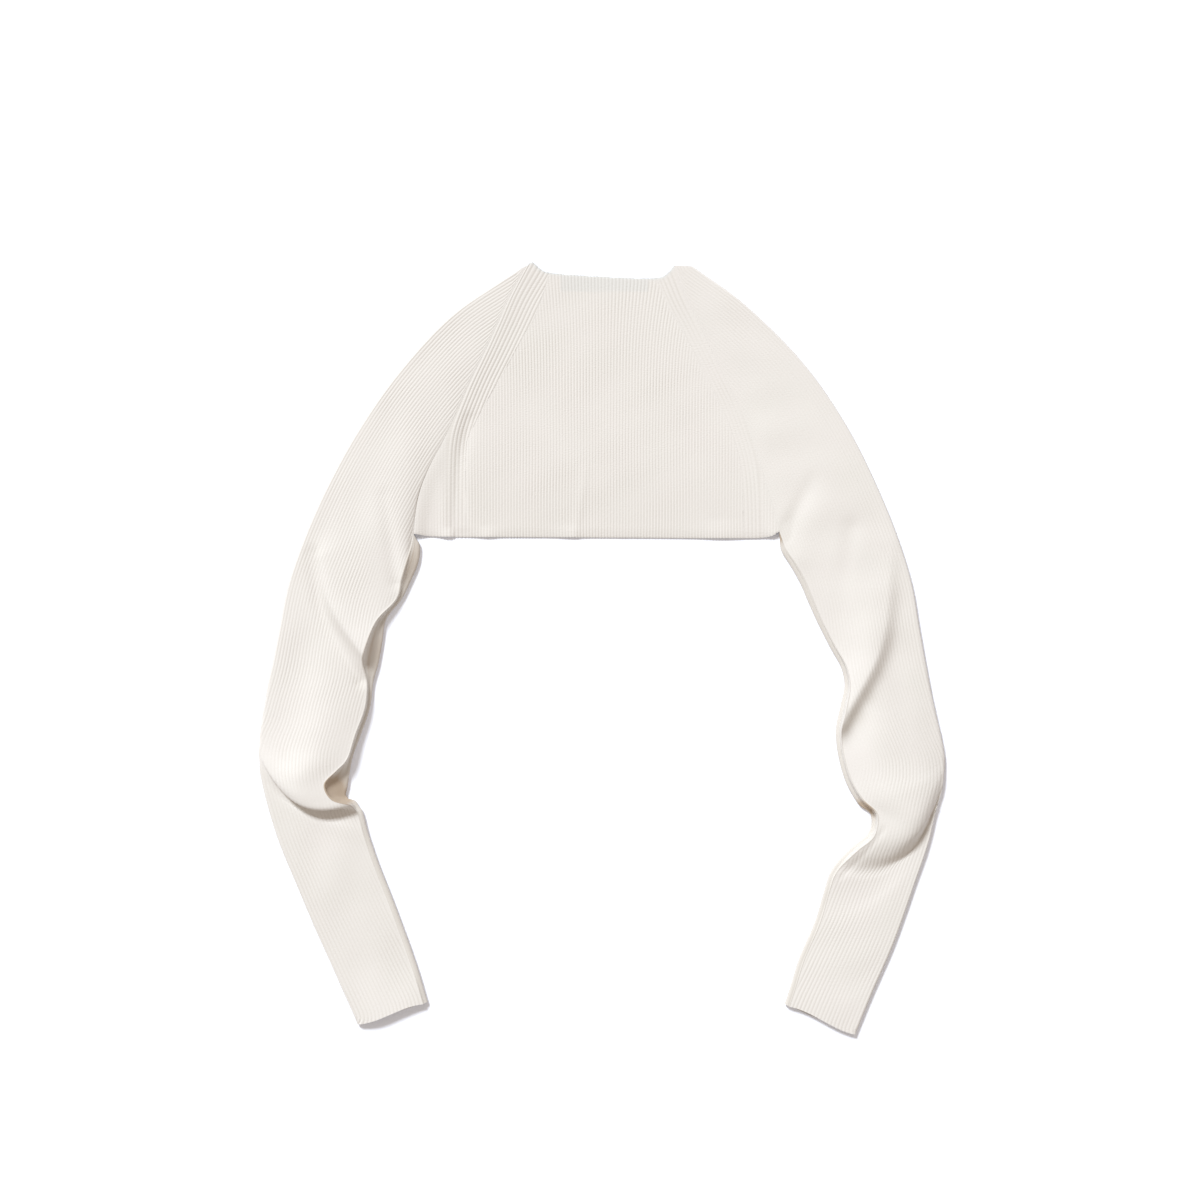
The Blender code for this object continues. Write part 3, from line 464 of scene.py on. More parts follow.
def crease_rise(creases, x, y):
    """Height that the creases add to the cloth at each place in plan."""
    rise = np.zeros_like(x)
    for crease in creases:
        ends = [(crease.x_0, crease.y_0), (crease.x_1, crease.y_1), (crease.x_2, crease.y_2)]
        line = spline([0, 1, 2], ends, np.linspace(0, 2, CREASE_POINTS))
        ahead = np.gradient(line, axis=0)
        reach = CREASE_REACH * max(crease.left_width, crease.right_width)
        close = (x > line[:, 0].min() - reach) & (x < line[:, 0].max() + reach)
        close &= (y > line[:, 1].min() - reach) & (y < line[:, 1].max() + reach)
        gap_x = x[close][:, None] - line[:, 0]
        gap_y = y[close][:, None] - line[:, 1]
        nearest = np.argmin(gap_x**2 + gap_y**2, axis=1)
        pick = (np.arange(len(nearest)), nearest)
        gap_x, gap_y = gap_x[pick], gap_y[pick]
        ahead, gap = unit(ahead[nearest]), np.hypot(gap_x, gap_y)
        sideways = (ahead[:, 0] * gap_y - ahead[:, 1] * gap_x) / np.maximum(gap, SMALL)
        width = crease.right_width + (crease.left_width - crease.right_width) * (1 + sideways) / 2
        share = nearest / (CREASE_POINTS - 1)
        height = crease.rise_0 + (crease.rise_1 - crease.rise_0) * share
        rise[close] += height * near(gap, width)
    return rise


def unevenness(x, y, seed, shortest=38, longest=120, waves=9):
    """A soft, uneven relief of about unit height, made of long waves in many directions."""
    chance = np.random.default_rng(seed)
    total = np.zeros_like(x)
    for wave_length in np.geomspace(shortest, longest, waves):
        turn, start = chance.uniform(0, 2 * np.pi, 2)
        total += np.sin(2 * np.pi / wave_length * (x * np.cos(turn) + y * np.sin(turn)) + start)
    return total / np.sqrt(waves)


def rib_strength(x, y, seed):
    """How clearly the ribs stand out: they are pulled nearly smooth in places."""
    strength = CLEAR + CLEAR_WAVE * unevenness(x, y, seed, *CLEAR_LENGTHS)
    strength = np.clip(strength, *CLEAR_LIMITS)
    for calm in CALMS:
        away = ((x - calm.x) / calm.wide) ** 2 + ((y - calm.y) / calm.high) ** 2
        strength = strength * (1 - calm.loss * np.exp(-away))
    return strength


def pocket_shade(points, pockets):
    """How much painted shade each point gets, by how deep it lies in the dark of a pocket."""
    shade = np.zeros(points.shape[:-1])
    for pocket in pockets:
        away = (points[..., 0] - pocket.x) ** 2 + (points[..., 1] - pocket.y) ** 2
        shade = np.maximum(shade, pocket.depth * np.exp(-away / pocket.reach**2))
    return shade


def rib_height(phase):
    """Height of a rib from -0.5 in its groove to 0.5 on its crest."""
    return np.abs(np.sin(np.pi * phase)) ** RIB_SHAPE - 0.5


def soft_greater(first, second, roundness=BAND_ROUND):
    """The greater of two values, rounded off where they cross."""
    return (first + second + np.sqrt((first - second) ** 2 + roundness**2)) / 2


def soft_step(value):
    """From 0 to 1 as a value does, without a bend at either end."""
    value = np.clip(value, 0, 1)
    return value**2 * (3 - 2 * value)


# Putting a piece of cloth together


class Cloth:
    """Points, faces and lasting values of one piece of cloth while it is put together."""

    def __init__(self):
        self.count = 0
        self.points, self.ribs = [], []
        self.values = {"groove": [], "plain": []}
        self.quads, self.triangles, self.edges = [], [], []

    def add(self, points, ribs, groove=0.0, plain=0.0):
        """Adds points, with their place in ribs and stitches, and returns their numbers.

        Groove is how deep a point lies between ribs or layers, which sets its painted shade. Plain is
        1 where the ribs are drawn without relief, by a bump and painted shade, and below 0 where the
        neck tape shows.
        """
        shape = points.shape[:-1]
        total = int(np.prod(shape))
        self.points.append(points.reshape(-1, 3))
        self.ribs.append(np.broadcast_to(ribs, shape + (2,)).reshape(-1, 2))
        for title, value in zip(self.values, (groove, plain)):
            self.values[title].append(np.broadcast_to(value, shape).reshape(-1))
        numbers = np.arange(self.count, self.count + total).reshape(shape)
        self.count += total
        return numbers

    def grid(self, rows):
        """Faces between rows of points, where neighbours in a row may be one point."""
        a, b = rows[:-1, :-1].ravel(), rows[:-1, 1:].ravel()
        d, c = rows[1:, :-1].ravel(), rows[1:, 1:].ravel()
        whole = (a != b) & (c != d)
        self.quads.append(np.stack([a, b, c, d], axis=1)[whole])
        upper, lower = (a != b) & (c == d), (a == b) & (c != d)
        self.triangles.append(np.stack([a, b, c], axis=1)[upper])
        self.triangles.append(np.stack([a, c, d], axis=1)[lower])

    def zip_lines(self, line, other, line_places, other_places):
        """Triangles between two lines of points that start and end side by side."""
        steps = np.concatenate([line_places[1:], other_places[1:]])
        on_line = np.argsort(steps, kind="stable") < len(line) - 1
        i, j = np.cumsum(on_line), np.cumsum(~on_line)
        a = np.where(on_line, line[i - 1], line[i])
        b = np.where(on_line, line[i], other[j])
        c = np.where(on_line, other[j], other[j - 1])
        whole = (a != b) & (b != c) & (c != a)
        self.triangles.append(np.stack([a, b, c], axis=1)[whole])

    def make(self, name, finish):
        """The piece as an object, with its faces outwards and its edges sharp."""
        quads = np.concatenate(self.quads)
        triangles = np.concatenate(self.triangles)
        corners = np.concatenate([quads.ravel(), triangles.ravel()])
        used, corners = np.unique(corners, return_inverse=True)
        corners = corners.ravel()
        mesh = bpy.data.meshes.new(name)
        mesh.vertices.add(len(used))
        points = np.concatenate(self.points)[used] * MM
        mesh.vertices.foreach_set("co", points.ravel())
        mesh.loops.add(len(corners))
        mesh.loops.foreach_set("vertex_index", corners)
        quad_starts = np.arange(len(quads)) * 4
        triangle_starts = len(quads) * 4 + np.arange(len(triangles)) * 3
        mesh.polygons.add(len(quads) + len(triangles))
        mesh.polygons.foreach_set("loop_start", np.concatenate([quad_starts, triangle_starts]))
        mesh.update(calc_edges=True)
        rib_map = mesh.uv_layers.new(name="Ribs")
        rib_map.data.foreach_set("uv", np.concatenate(self.ribs)[used][corners].ravel())
        for title, values in self.values.items():
            layer = mesh.attributes.new(title, "FLOAT", "POINT")
            layer.data.foreach_set("value", np.concatenate(values)[used])
        form = bmesh.new()
        form.from_mesh(mesh)
        bmesh.ops.recalc_face_normals(form, faces=form.faces)
        if form.calc_volume(signed=True) < 0:
            bmesh.ops.reverse_faces(form, faces=form.faces)
        form.to_mesh(mesh)
        form.free()
        mesh.shade_smooth()
        mesh.set_sharp_from_angle(angle=np.radians(SHARP_TURN))
        ends = np.empty(len(mesh.edges) * 2, int)
        mesh.edges.foreach_get("vertices", ends)
        on_edge = np.isin(used, np.concatenate(self.edges))[ends.reshape(-1, 2)].all(axis=1)
        sharp = np.empty(len(mesh.edges), bool)
        mesh.edges.foreach_get("use_edge_sharp", sharp)
        mesh.edges.foreach_set("use_edge_sharp", sharp | on_edge)
        mesh.materials.append(finish)
        piece = bpy.data.objects.new(name, mesh)
        bpy.context.scene.collection.objects.link(piece)
        return piece


def merged_runs(places):
    """For each place in rows that never fall, the first index of its run of equals."""
    places = np.atleast_2d(places)
    fresh = np.diff(places, axis=1) > SAME_PLACE
    fresh = np.concatenate([np.ones((len(places), 1), bool), fresh], axis=1)
    index = np.arange(places.shape[1])
    return np.maximum.accumulate(np.where(fresh, index, 0), axis=1)


def joined(numbers, places):
    """Point numbers of each row, with those at equal places made one."""
    return np.take_along_axis(np.atleast_2d(numbers), merged_runs(places), axis=1)


def normals_of(rings):
    """Unit normals of a grid of closed rings, each the mean over the faces that meet there.

    Where points of a ring coincide and no face has an area, the next normal in the ring is taken.
    """
    next_rings = np.roll(rings, -1, axis=1)
    faces = np.cross(rings[1:] - next_rings[:-1], next_rings[1:] - rings[:-1])
    faces += np.roll(faces, 1, axis=1)
    normals = np.zeros_like(rings)
    normals[:-1] += faces
    normals[1:] += faces
    columns = np.arange(rings.shape[1])
    with_area = np.where(np.linalg.norm(normals, axis=2) > SMALL, columns, columns[-1])
    next_with_area = np.minimum.accumulate(with_area[:, ::-1], axis=1)[:, ::-1]
    return unit(np.take_along_axis(normals, next_with_area[..., None], axis=1))


def border_lines(rows):
    """First and last row and first and last column of a grid."""
    return [rows[0], rows[-1], rows[:, 0], rows[:, -1]]


def run_lengths(rings):
    """Distance of each point of the rings from the last ring, along its own line."""
    steps = np.linalg.norm(np.diff(rings[::-1], axis=0), axis=2)
    lengths = np.concatenate([np.zeros((1, rings.shape[1])), np.cumsum(steps, axis=0)])
    return lengths[::-1]


def end_normals(ring, foot):
    """Normals of an end ring, kept in the upright surface that its seam runs in."""
    toward_foot = np.where(np.arange(len(ring)) < foot, 1, -1)
    steps = np.roll(ring, -1, axis=0) - ring
    ahead = steps[:, :2] * toward_foot[:, None]
    behind = np.roll(ahead, 1, axis=0)
    ahead_is_longer = (ahead**2).sum(axis=1) > (behind**2).sum(axis=1)
    run = unit(np.where(ahead_is_longer[:, None], ahead, behind))
    slide = np.linalg.norm(ahead, axis=1) * toward_foot
    slide += np.roll(slide, 1)
    fall = -steps[:, 2] - np.roll(steps[:, 2], 1)
    upright = unit(np.column_stack([fall, slide]))
    return np.column_stack([upright[:, :1] * run, upright[:, 1]])


def at_shares(grid, across, shares):
    """Values of each row of a grid at that row's own shares."""
    made = np.empty(shares.shape + grid.shape[2:])
    for row, (values, row_shares) in enumerate(zip(grid, shares)):
        for column in range(grid.shape[2]):
            made[row, :, column] = np.interp(row_shares, across, values[:, column])
    return made


def at_height(places, height):
    """Places in plan raised to one height, or to one each."""
    return np.column_stack([places, np.broadcast_to(height, len(places))])


# Sleeves


class Sleeve:
    """A flattened tube through the sections of one sleeve, with the raglan seam as its rim."""

    def __init__(self, form, cloth):
        self.form, self.cloth, self.side = form, cloth, form.side
        sections = form.sections
        seam = smooth_line(form.raglan, SEAM_POINTS)
        edge = moved_sideways(seam, self.side * cloth.seam_gap / 2)[::-1]
        self.rim = np.vstack([form.neck_end, edge])
        rim_place = lengths_along(self.rim)
        self.rim_shares = rim_place / rim_place[-1]
        self.across = np.unique(np.concatenate([np.linspace(0, 1, ACROSS), self.rim_shares]))
        plans = [along_line(self.rim, self.across)]
        plans += [self.section_plan(section) for section in sections]
        heights = [np.full(len(self.across), FLAT)]
        heights += [self.section_height(section) for section in sections]
        underarm = self.rim[-1]
        first = sections[0]
        toward = unit(np.array([first.foot_x, first.foot_y]) - underarm)
        feet = [underarm + toward * UNDERARM_SHOW]
        feet += [(section.foot_x, section.foot_y) for section in sections]
        middles = np.array([plan[len(plan) // 2] for plan in plans])
        lifts = np.array([height[len(height) // 2] for height in heights])
        self.knots = lengths_along(np.column_stack([middles, lifts]))
        self.table = np.concatenate([np.array(plans), np.array(heights)[..., None]], axis=2)
        self.feet = np.array(feet)
        self.slips = np.array([0.0] + [section.slip for section in sections])
        stations = list(FIRST_ROWS)
        for knot, next_knot in zip(self.knots, self.knots[1:]):
            count = int(np.ceil((next_knot - knot) / ROW_STEP))
            stations += list(np.linspace(knot, next_knot, count + 1)[1:])
        self.stations = np.array(stations)

    def section_plan(self, section):
        """Places in plan across a section, from the outer fold to the seam."""
        outer = np.array([section.outer_x, section.outer_y])
        chord = np.array([section.seam_x, section.seam_y]) - outer
        to_cuff = -self.side * np.array([-chord[1], chord[0]]) / np.linalg.norm(chord)
        share = self.across[:, None]
        return outer + share * chord + bow_at(share, section.bow_1, section.bow_2) * to_cuff

    def section_height(self, section):
        """Heights across a section."""
        heights = [FLAT, section.z_1, section.z_2, section.z_seam]
        return spline([0, 1 / 3, 2 / 3, 1], heights, self.across)

    def rib_shares(self, rows):
        """Share across and rib number of each line of the ribs, in every row."""
        plan = rows[..., :2]
        away = distances_from(plan[::FOLD_STEP, 0], plan)
        away[:, 0] = 0
        run = np.linalg.norm(np.diff(plan, axis=1), axis=2)
        steps = np.maximum(np.diff(away, axis=1), LEAST_SPREAD * run)
        away[:, 1:] = np.cumsum(steps, axis=1)
        slips = spline(self.knots, self.slips, self.stations)
        down = self.stations / self.stations[-1]
        top, cuff = self.cloth.sleeve_rib_top, self.cloth.sleeve_rib_cuff
        pitch = top + (cuff - top) * down**PITCH_BEND
        wander = sum(size * np.sin(self.stations / length + start) for size, length, start in WANDERS)
        count = int(np.ceil(((away[:, -1] + slips + 1) / pitch).max() * RIB_LINES)) + 1
        numbers = np.arange(count) / RIB_LINES
        shares = np.empty((len(rows), count))
        places = np.empty_like(shares)
        for row in range(len(rows)):
            end = away[row, -1]
            drift = wander[row] * np.clip(numbers * pitch[row] / WANDER_START, 0, 1)
            place = np.clip(numbers * pitch[row] - slips[row] + drift, 0, end)
            places[row] = np.maximum.accumulate(place)
            shares[row] = np.interp(places[row], away[row], self.across)
        return shares, numbers, places, away[:, -1:]

    def surface(self):
        """Upper layer with its ribs, the smooth one below them, and where the ribs lie."""
        rows = spline(self.knots, self.table, self.stations)
        rows[0, :, :2] = self.table[0, :, :2]
        feet = spline(self.knots, self.feet, self.stations)
        shares, numbers, places, ends = self.rib_shares(rows)
        top = at_shares(rows, self.across, shares)
        x, y, z = top[..., 0], top[..., 1], top[..., 2]
        steps = np.linalg.norm(np.diff(top[..., :2], axis=1), axis=2)
        inward = np.concatenate([np.zeros((len(top), 1)), np.cumsum(steps, axis=1)], axis=1)
        fade = np.clip(self.stations / CREASE_START, 0, 1)[:, None]
        rise = crease_rise(self.form.creases, x, y)
        relief = SLEEVE_RELIEF * unevenness(x, y, SLEEVE_SEED + self.side)
        rise += relief * soft_step(inward / RELIEF_START)
        z = soft_greater(z + fade * rise, FLAT - SINK, SINK)
        z = z - SEAM_DIP * near(self.stations, SEAM_DIP_WIDTH)[:, None]
        rounding = np.sqrt(1 - (1 - np.clip(inward / EDGE, 0, 1)) ** 2)
        top[..., 2] = FLAT / 2 + (z - FLAT / 2) * rounding
        return top, feet, shares, numbers, places, ends, rows

    def under_side(self, top, feet, rows):
        """The rest of each ring: down from the seam, round the foot and back underneath."""
        seam, outer = top[:, -1, :2], top[:, 0, :2]
        reach = feet - seam
        show = np.linalg.norm(reach, axis=1)
        out = reach / show[:, None]
        seam_z = top[:, -1, 2]
        recess = SHOW_SAG * np.clip(show - SHOW_FLAT, 0, None)
        ridge = np.minimum(RIDGE_MOST, RIDGE_SHARE * (show - EDGE))
        columns = []
        for share, lift in RIDGE:
            run = ridge * share
            columns.append(at_height(seam + out * run[:, None], seam_z + lift))
        for step in range(1, SIDE_STEPS + 1):
            share = step / SIDE_STEPS
            run = ridge + (show - EDGE - ridge) * share**WALL_SPREAD
            run -= recess * np.sin(np.pi * share)
            fall = FLAT + (seam_z - FLAT) * (1 - share) ** self.form.fall
            columns.append(at_height(seam + out * run[:, None], fall))
        for angle in np.linspace(0, np.pi, 2 * ROUND_STEPS + 1)[1:]:
            place = feet - out * EDGE * (1 - np.sin(angle))
            columns.append(at_height(place, FLAT / 2 * (1 + np.cos(angle))))
        inward = unit(rows[:, INWARD_COLUMN, :2] - outer)
        start, end = feet - out * EDGE, outer + inward * EDGE
        follow_rim = (RIM_REACH - self.stations) / (RIM_REACH - RIM_HOLD)
        follow_rim = np.clip(follow_rim, 0, 1)[:, None]
        shares = np.linspace(self.rim_shares[1], 1, UNDER_COLUMNS)[::-1]
        followed = at_shares(rows[..., :2], self.across, np.tile(shares, (len(rows), 1)))
        for column, share in enumerate(shares):
            straight = end + min(share, NEAR_FOOT) * (start - end)
            place = follow_rim * followed[:, column] + (1 - follow_rim) * straight
            columns.append(at_height(place, 0))
        columns.append(at_height(end, 0))
        for angle in np.linspace(0, np.pi / 2, ROUND_STEPS + 1)[1:-1]:
            place = outer + inward * EDGE * (1 - np.sin(angle))
            columns.append(at_height(place, FLAT / 2 * (1 - np.cos(angle))))
        return np.stack(columns, axis=1)


def build_sleeve(name, sleeve, finish):
    """The ribbed tube of a sleeve and its plainer inside, joined at the two open ends."""
    cloth = sleeve.cloth
    top, feet, shares, numbers, places, ends, rows = sleeve.surface()
    rest = sleeve.under_side(top, feet, rows)
    top_count, rest_count = top.shape[1], rest.shape[1]
    rings = np.concatenate([top, rest], axis=1)
    normals = normals_of(rings) * sleeve.side
    for end in (0, -1):
        normals[end] = end_normals(rings[end], top_count - 1 + FOOT_COLUMN)
    wall = cloth.wall * (1 - LIP_THINNING * pocket_shade(rings, LIPS))
    inner = rings - normals * wall[..., None]
    inner[..., 2] = np.maximum(inner[..., 2], cloth.wall)

    lift = rib_height(numbers) * np.ones_like(places)
    fade = soft_step((ends - places) / SEAM_EDGE_FADE)
    fade *= soft_step((places + FOLD_FADE_START) / FOLD_FADE)
    fade *= rib_strength(top[..., 0], top[..., 1], SLEEVE_CLEAR_SEED) * sleeve.form.rib_share
    fade *= soft_step(distances_from(sleeve.rim, top[..., :2]) / RIM_FADE)
    height = lift * cloth.rib_rise * fade
    raised = top + normals[:, :top_count] * height[..., None]
    raised[0, :, :2] = top[0, :, :2]

    piece = Cloth()
    along = run_lengths(rings) / STITCH
    rib_places = np.stack([numbers * np.ones_like(places), along[:, :top_count]], axis=-1)
    # Painted shade in the grooves of the ribs and in the folds of the upper layer
    strip = piece.add(raised, rib_places, (0.5 - lift) * fade + pocket_shade(top, FOLD_SHADES))
    strip = joined(strip, shares)
    side_run = np.linalg.norm(np.diff(rings[:, top_count - 1:], axis=1), axis=2).cumsum(axis=1)
    rest_ribs = (places[:, -1:] + side_run) / cloth.sleeve_rib_top
    rest_places = np.stack([rest_ribs, along[:, top_count:]], axis=-1)
    columns = np.arange(rest_count)
    side_wall = columns < FOOT_COLUMN
    toward_foot = np.clip((columns - len(RIDGE)) / SIDE_STEPS, 0, 1)
    # Painted shade on the side wall, deeper towards its foot, underneath, on the seam lines and in
    # the pockets
    shade = np.where(side_wall, WALL_SHADE + FOOT_SHADE * toward_foot, UNDER_SHADE)
    shade = shade + SEAM_LINE_SHADE * np.isin(columns, SEAM_LINES)
    others = piece.add(rest, rest_places, shade + pocket_shade(rest, POCKET_SHADES), 1.0 - side_wall)
    outer_rings = np.concatenate([strip, others, strip[:, :1]], axis=1)
    piece.edges += [outer_rings[0], outer_rings[-1]]
    piece.grid(outer_rings)

    inner_top = np.unique([*range(0, top_count, 2 * RIB_LINES), top_count - 1])
    wall_foot = len(RIDGE) + SIDE_STEPS
    inner_rest = np.r_[len(RIDGE) + 1:wall_foot:2, wall_foot:rest_count]
    inner_rows = np.arange(INNER_STEP, len(rings) - INNER_STEP // 2, INNER_STEP)
    kept = inner[inner_rows][:, np.concatenate([inner_top, top_count + inner_rest])]
    # Painted shade on the inside, deeper in the pockets
    made = piece.add(kept, (0, 0), INSIDE_SHADE + pocket_shade(kept, POCKET_SHADES), 1.0)
    after_top = np.arange(2.0, rest_count + 3)
    kept_places = np.tile(after_top[inner_rest], (len(inner_rows), 1))
    kept_places = np.concatenate([shares[inner_rows][:, inner_top], kept_places], axis=1)
    inner_rings = joined(made, kept_places)
    inner_rings = np.concatenate([inner_rings, inner_rings[:, :1]], axis=1)
    piece.grid(inner_rings)
    for end in (0, -1):
        rim_points = piece.add(inner[end], (0, 0), INSIDE_SHADE, 1.0)
        rim_strip = joined(rim_points[:top_count], shares[end])[0]
        rim = np.concatenate([rim_strip, rim_points[top_count:], rim_strip[:1]])
        piece.grid(np.stack([outer_rings[end], rim]))
        rim_places = np.concatenate([shares[end], after_top])
        inner_places = np.concatenate([kept_places[end], after_top[-1:]])
        piece.zip_lines(rim, inner_rings[end], rim_places, inner_places)
    return piece.make(name, finish)


# Back panel


def side_lines(edge_x, band, turn, mirror, levels, shares, step):
    """Lines of the ribs from one seam inwards, for the left or, mirrored, for the right side."""
    band_y, band_x = np.array(band)[:, ::-1].T
    raised = line_dip(np.interp(levels, band_y, band_x), NECK_LINE) * shares**CURVE_FADE
    inner = mirror * np.interp(levels + raised, band_y, band_x)[:, None]
    edge, turn = mirror * edge_x[:, None], mirror * turn
    start = soft_greater(edge, turn)
    inner = soft_greater(inner, start + BAND_LEAST)
    outside = np.arange(int(np.ceil((turn - edge.min()) / step)) + 1, 0, -1)
    band_step = BAND_PITCH / RIB_LINES
    within = band_step * np.arange(int((inner - start).max() / band_step) + 2)
    places = np.concatenate([
        edge,
        np.clip(np.tile(turn - step * outside, (len(edge), 1)), edge, start),
        np.clip(start + within, start, inner),
    ], axis=1)
    numbers = np.concatenate([[0.0], outside / RIB_LINES, within / BAND_PITCH])
    bold = np.concatenate([[0.0], np.ones(len(outside)), np.full(len(within), BOLD)])
    if mirror < 0:
        return -places[:, ::-1], numbers[::-1], bold[::-1], -inner
    return places, numbers, bold, inner


def back_lines(left_x, right_x, levels, shares, cloth):
    """Places of the lines of the ribs across each row, and the rib number of each line."""
    step = cloth.body_rib / RIB_LINES
    left = side_lines(left_x, LEFT_BAND, BAND_TURN_LEFT, 1, levels, shares, step)
    right = side_lines(right_x, RIGHT_BAND, BAND_TURN_RIGHT, -1, levels, shares, step)
    left_inner, right_inner = left[3], right[3]
    half = int(max(right_inner.max(), -left_inner.min()) / step) + RIB_LINES * SPARE_RIBS
    middle = step * np.arange(-half, half + 1)
    height = np.clip((levels - FAN_START) / FAN_HEIGHT, 0, 1)[:, None] ** 2
    fan = 1 + height * np.where(middle < 0, FAN_LEFT, FAN_RIGHT)
    sway = SWAY * np.sin(levels / SWAY_UP)[:, None] * np.sin(middle / SWAY_ACROSS)
    between = np.clip(middle * fan + sway, left_inner, right_inner)
    places = np.concatenate([left[0], between, right[0]], axis=1)
    numbers = np.concatenate([left[1], middle / cloth.body_rib, right[1]])
    bold = np.concatenate([left[2], np.ones(len(middle)), right[2]])
    return np.maximum.accumulate(places, axis=1), numbers, bold, left_inner, right_inner


def line_dip(x, line):
    """How far a line lies over the straight run between its ends, at each x."""
    line = np.asarray(line, float)
    fine = smooth_line(line, CURVE_POINTS)
    return np.interp(x, fine[:, 0], fine[:, 1]) - np.interp(x, line[[0, -1], 0], line[[0, -1], 1])


def back_points(places, shares, left, right, cloth):
    """Top of the back panel without its ribs, for places across each row."""
    left_x, right_x = left[:, :1], right[:, :1]
    span = (places - left_x) / (right_x - left_x)
    level = left[:, 1:] + span * (right[:, 1:] - left[:, 1:])
    neck_x = NECK_LINE[0][0] + span * (NECK_LINE[-1][0] - NECK_LINE[0][0])
    hem_x = HEM_LINE[0][0] + span * (HEM_LINE[-1][0] - HEM_LINE[0][0])
    share = shares[:, None]
    y = level + line_dip(neck_x, NECK_LINE) * share**CURVE_FADE
    y = y + line_dip(hem_x, HEM_LINE) * (1 - share) ** CURVE_FADE
    seam_distance = np.minimum(places - left_x, right_x - places)
    lift = (FLAT - BACK_HEIGHT) * near(seam_distance, SEAM_LIFT_WIDTH)
    z = BACK_HEIGHT + lift - SEAM_DIP * near(seam_distance, SEAM_DIP_WIDTH)
    z = z + crease_rise(BACK_CREASES, places, y)
    drop = sum(fall * near(share * BACK_LENGTH, reach) for fall, reach in HEM_DROPS)
    z -= drop * soft_step(seam_distance / SEAM_LIFT_WIDTH)
    relief = BACK_RELIEF * unevenness(places, y, BACK_SEED)
    z += relief * soft_step(seam_distance / BACK_RELIEF_START)
    over_fronts = soft_step((y - FRONT_HEM + OVER_FRONTS) / OVER_FRONTS)
    z = soft_greater(z, cloth.wall * (1 + FRONT_WALL * over_fronts) + HEM_CLEAR, SINK)
    return np.stack([places, y, z], axis=-1)


def back_rib_fade(places, y, seam_distance, left_x, left_inner, right_inner):
    """How clearly the back's ribs stand out: most in the left band, hardly beside it."""
    calm = np.clip((left_x + SIDE_CALM_WIDTH - places) / SIDE_CALM_EDGE, 0, 1)
    calm = calm * np.clip((BAND_TURN_LEFT + TURN_INSIDE - places) / TURN_EDGE, 0, 1)
    fade = soft_step(seam_distance / SEAM_FADE) * (1 - SIDE_CALM * calm)
    fade = fade * rib_strength(places, y, BACK_CLEAR_SEED)
    meeting = np.minimum(np.abs(places - left_inner), np.abs(places - right_inner))
    fade = fade * (1 - MEETING_LOSS * near(meeting, MEETING_WIDTH))
    clearest = near(y - BOLD_MIDDLE, BOLD_REACH)
    bold_fade = soft_step(seam_distance / BOLD_SEAM_FADE) * (BOLD_LEAST + BOLD_MORE * clearest)
    return np.where((places < left_inner) & (calm < BARELY_CALM), bold_fade, fade)


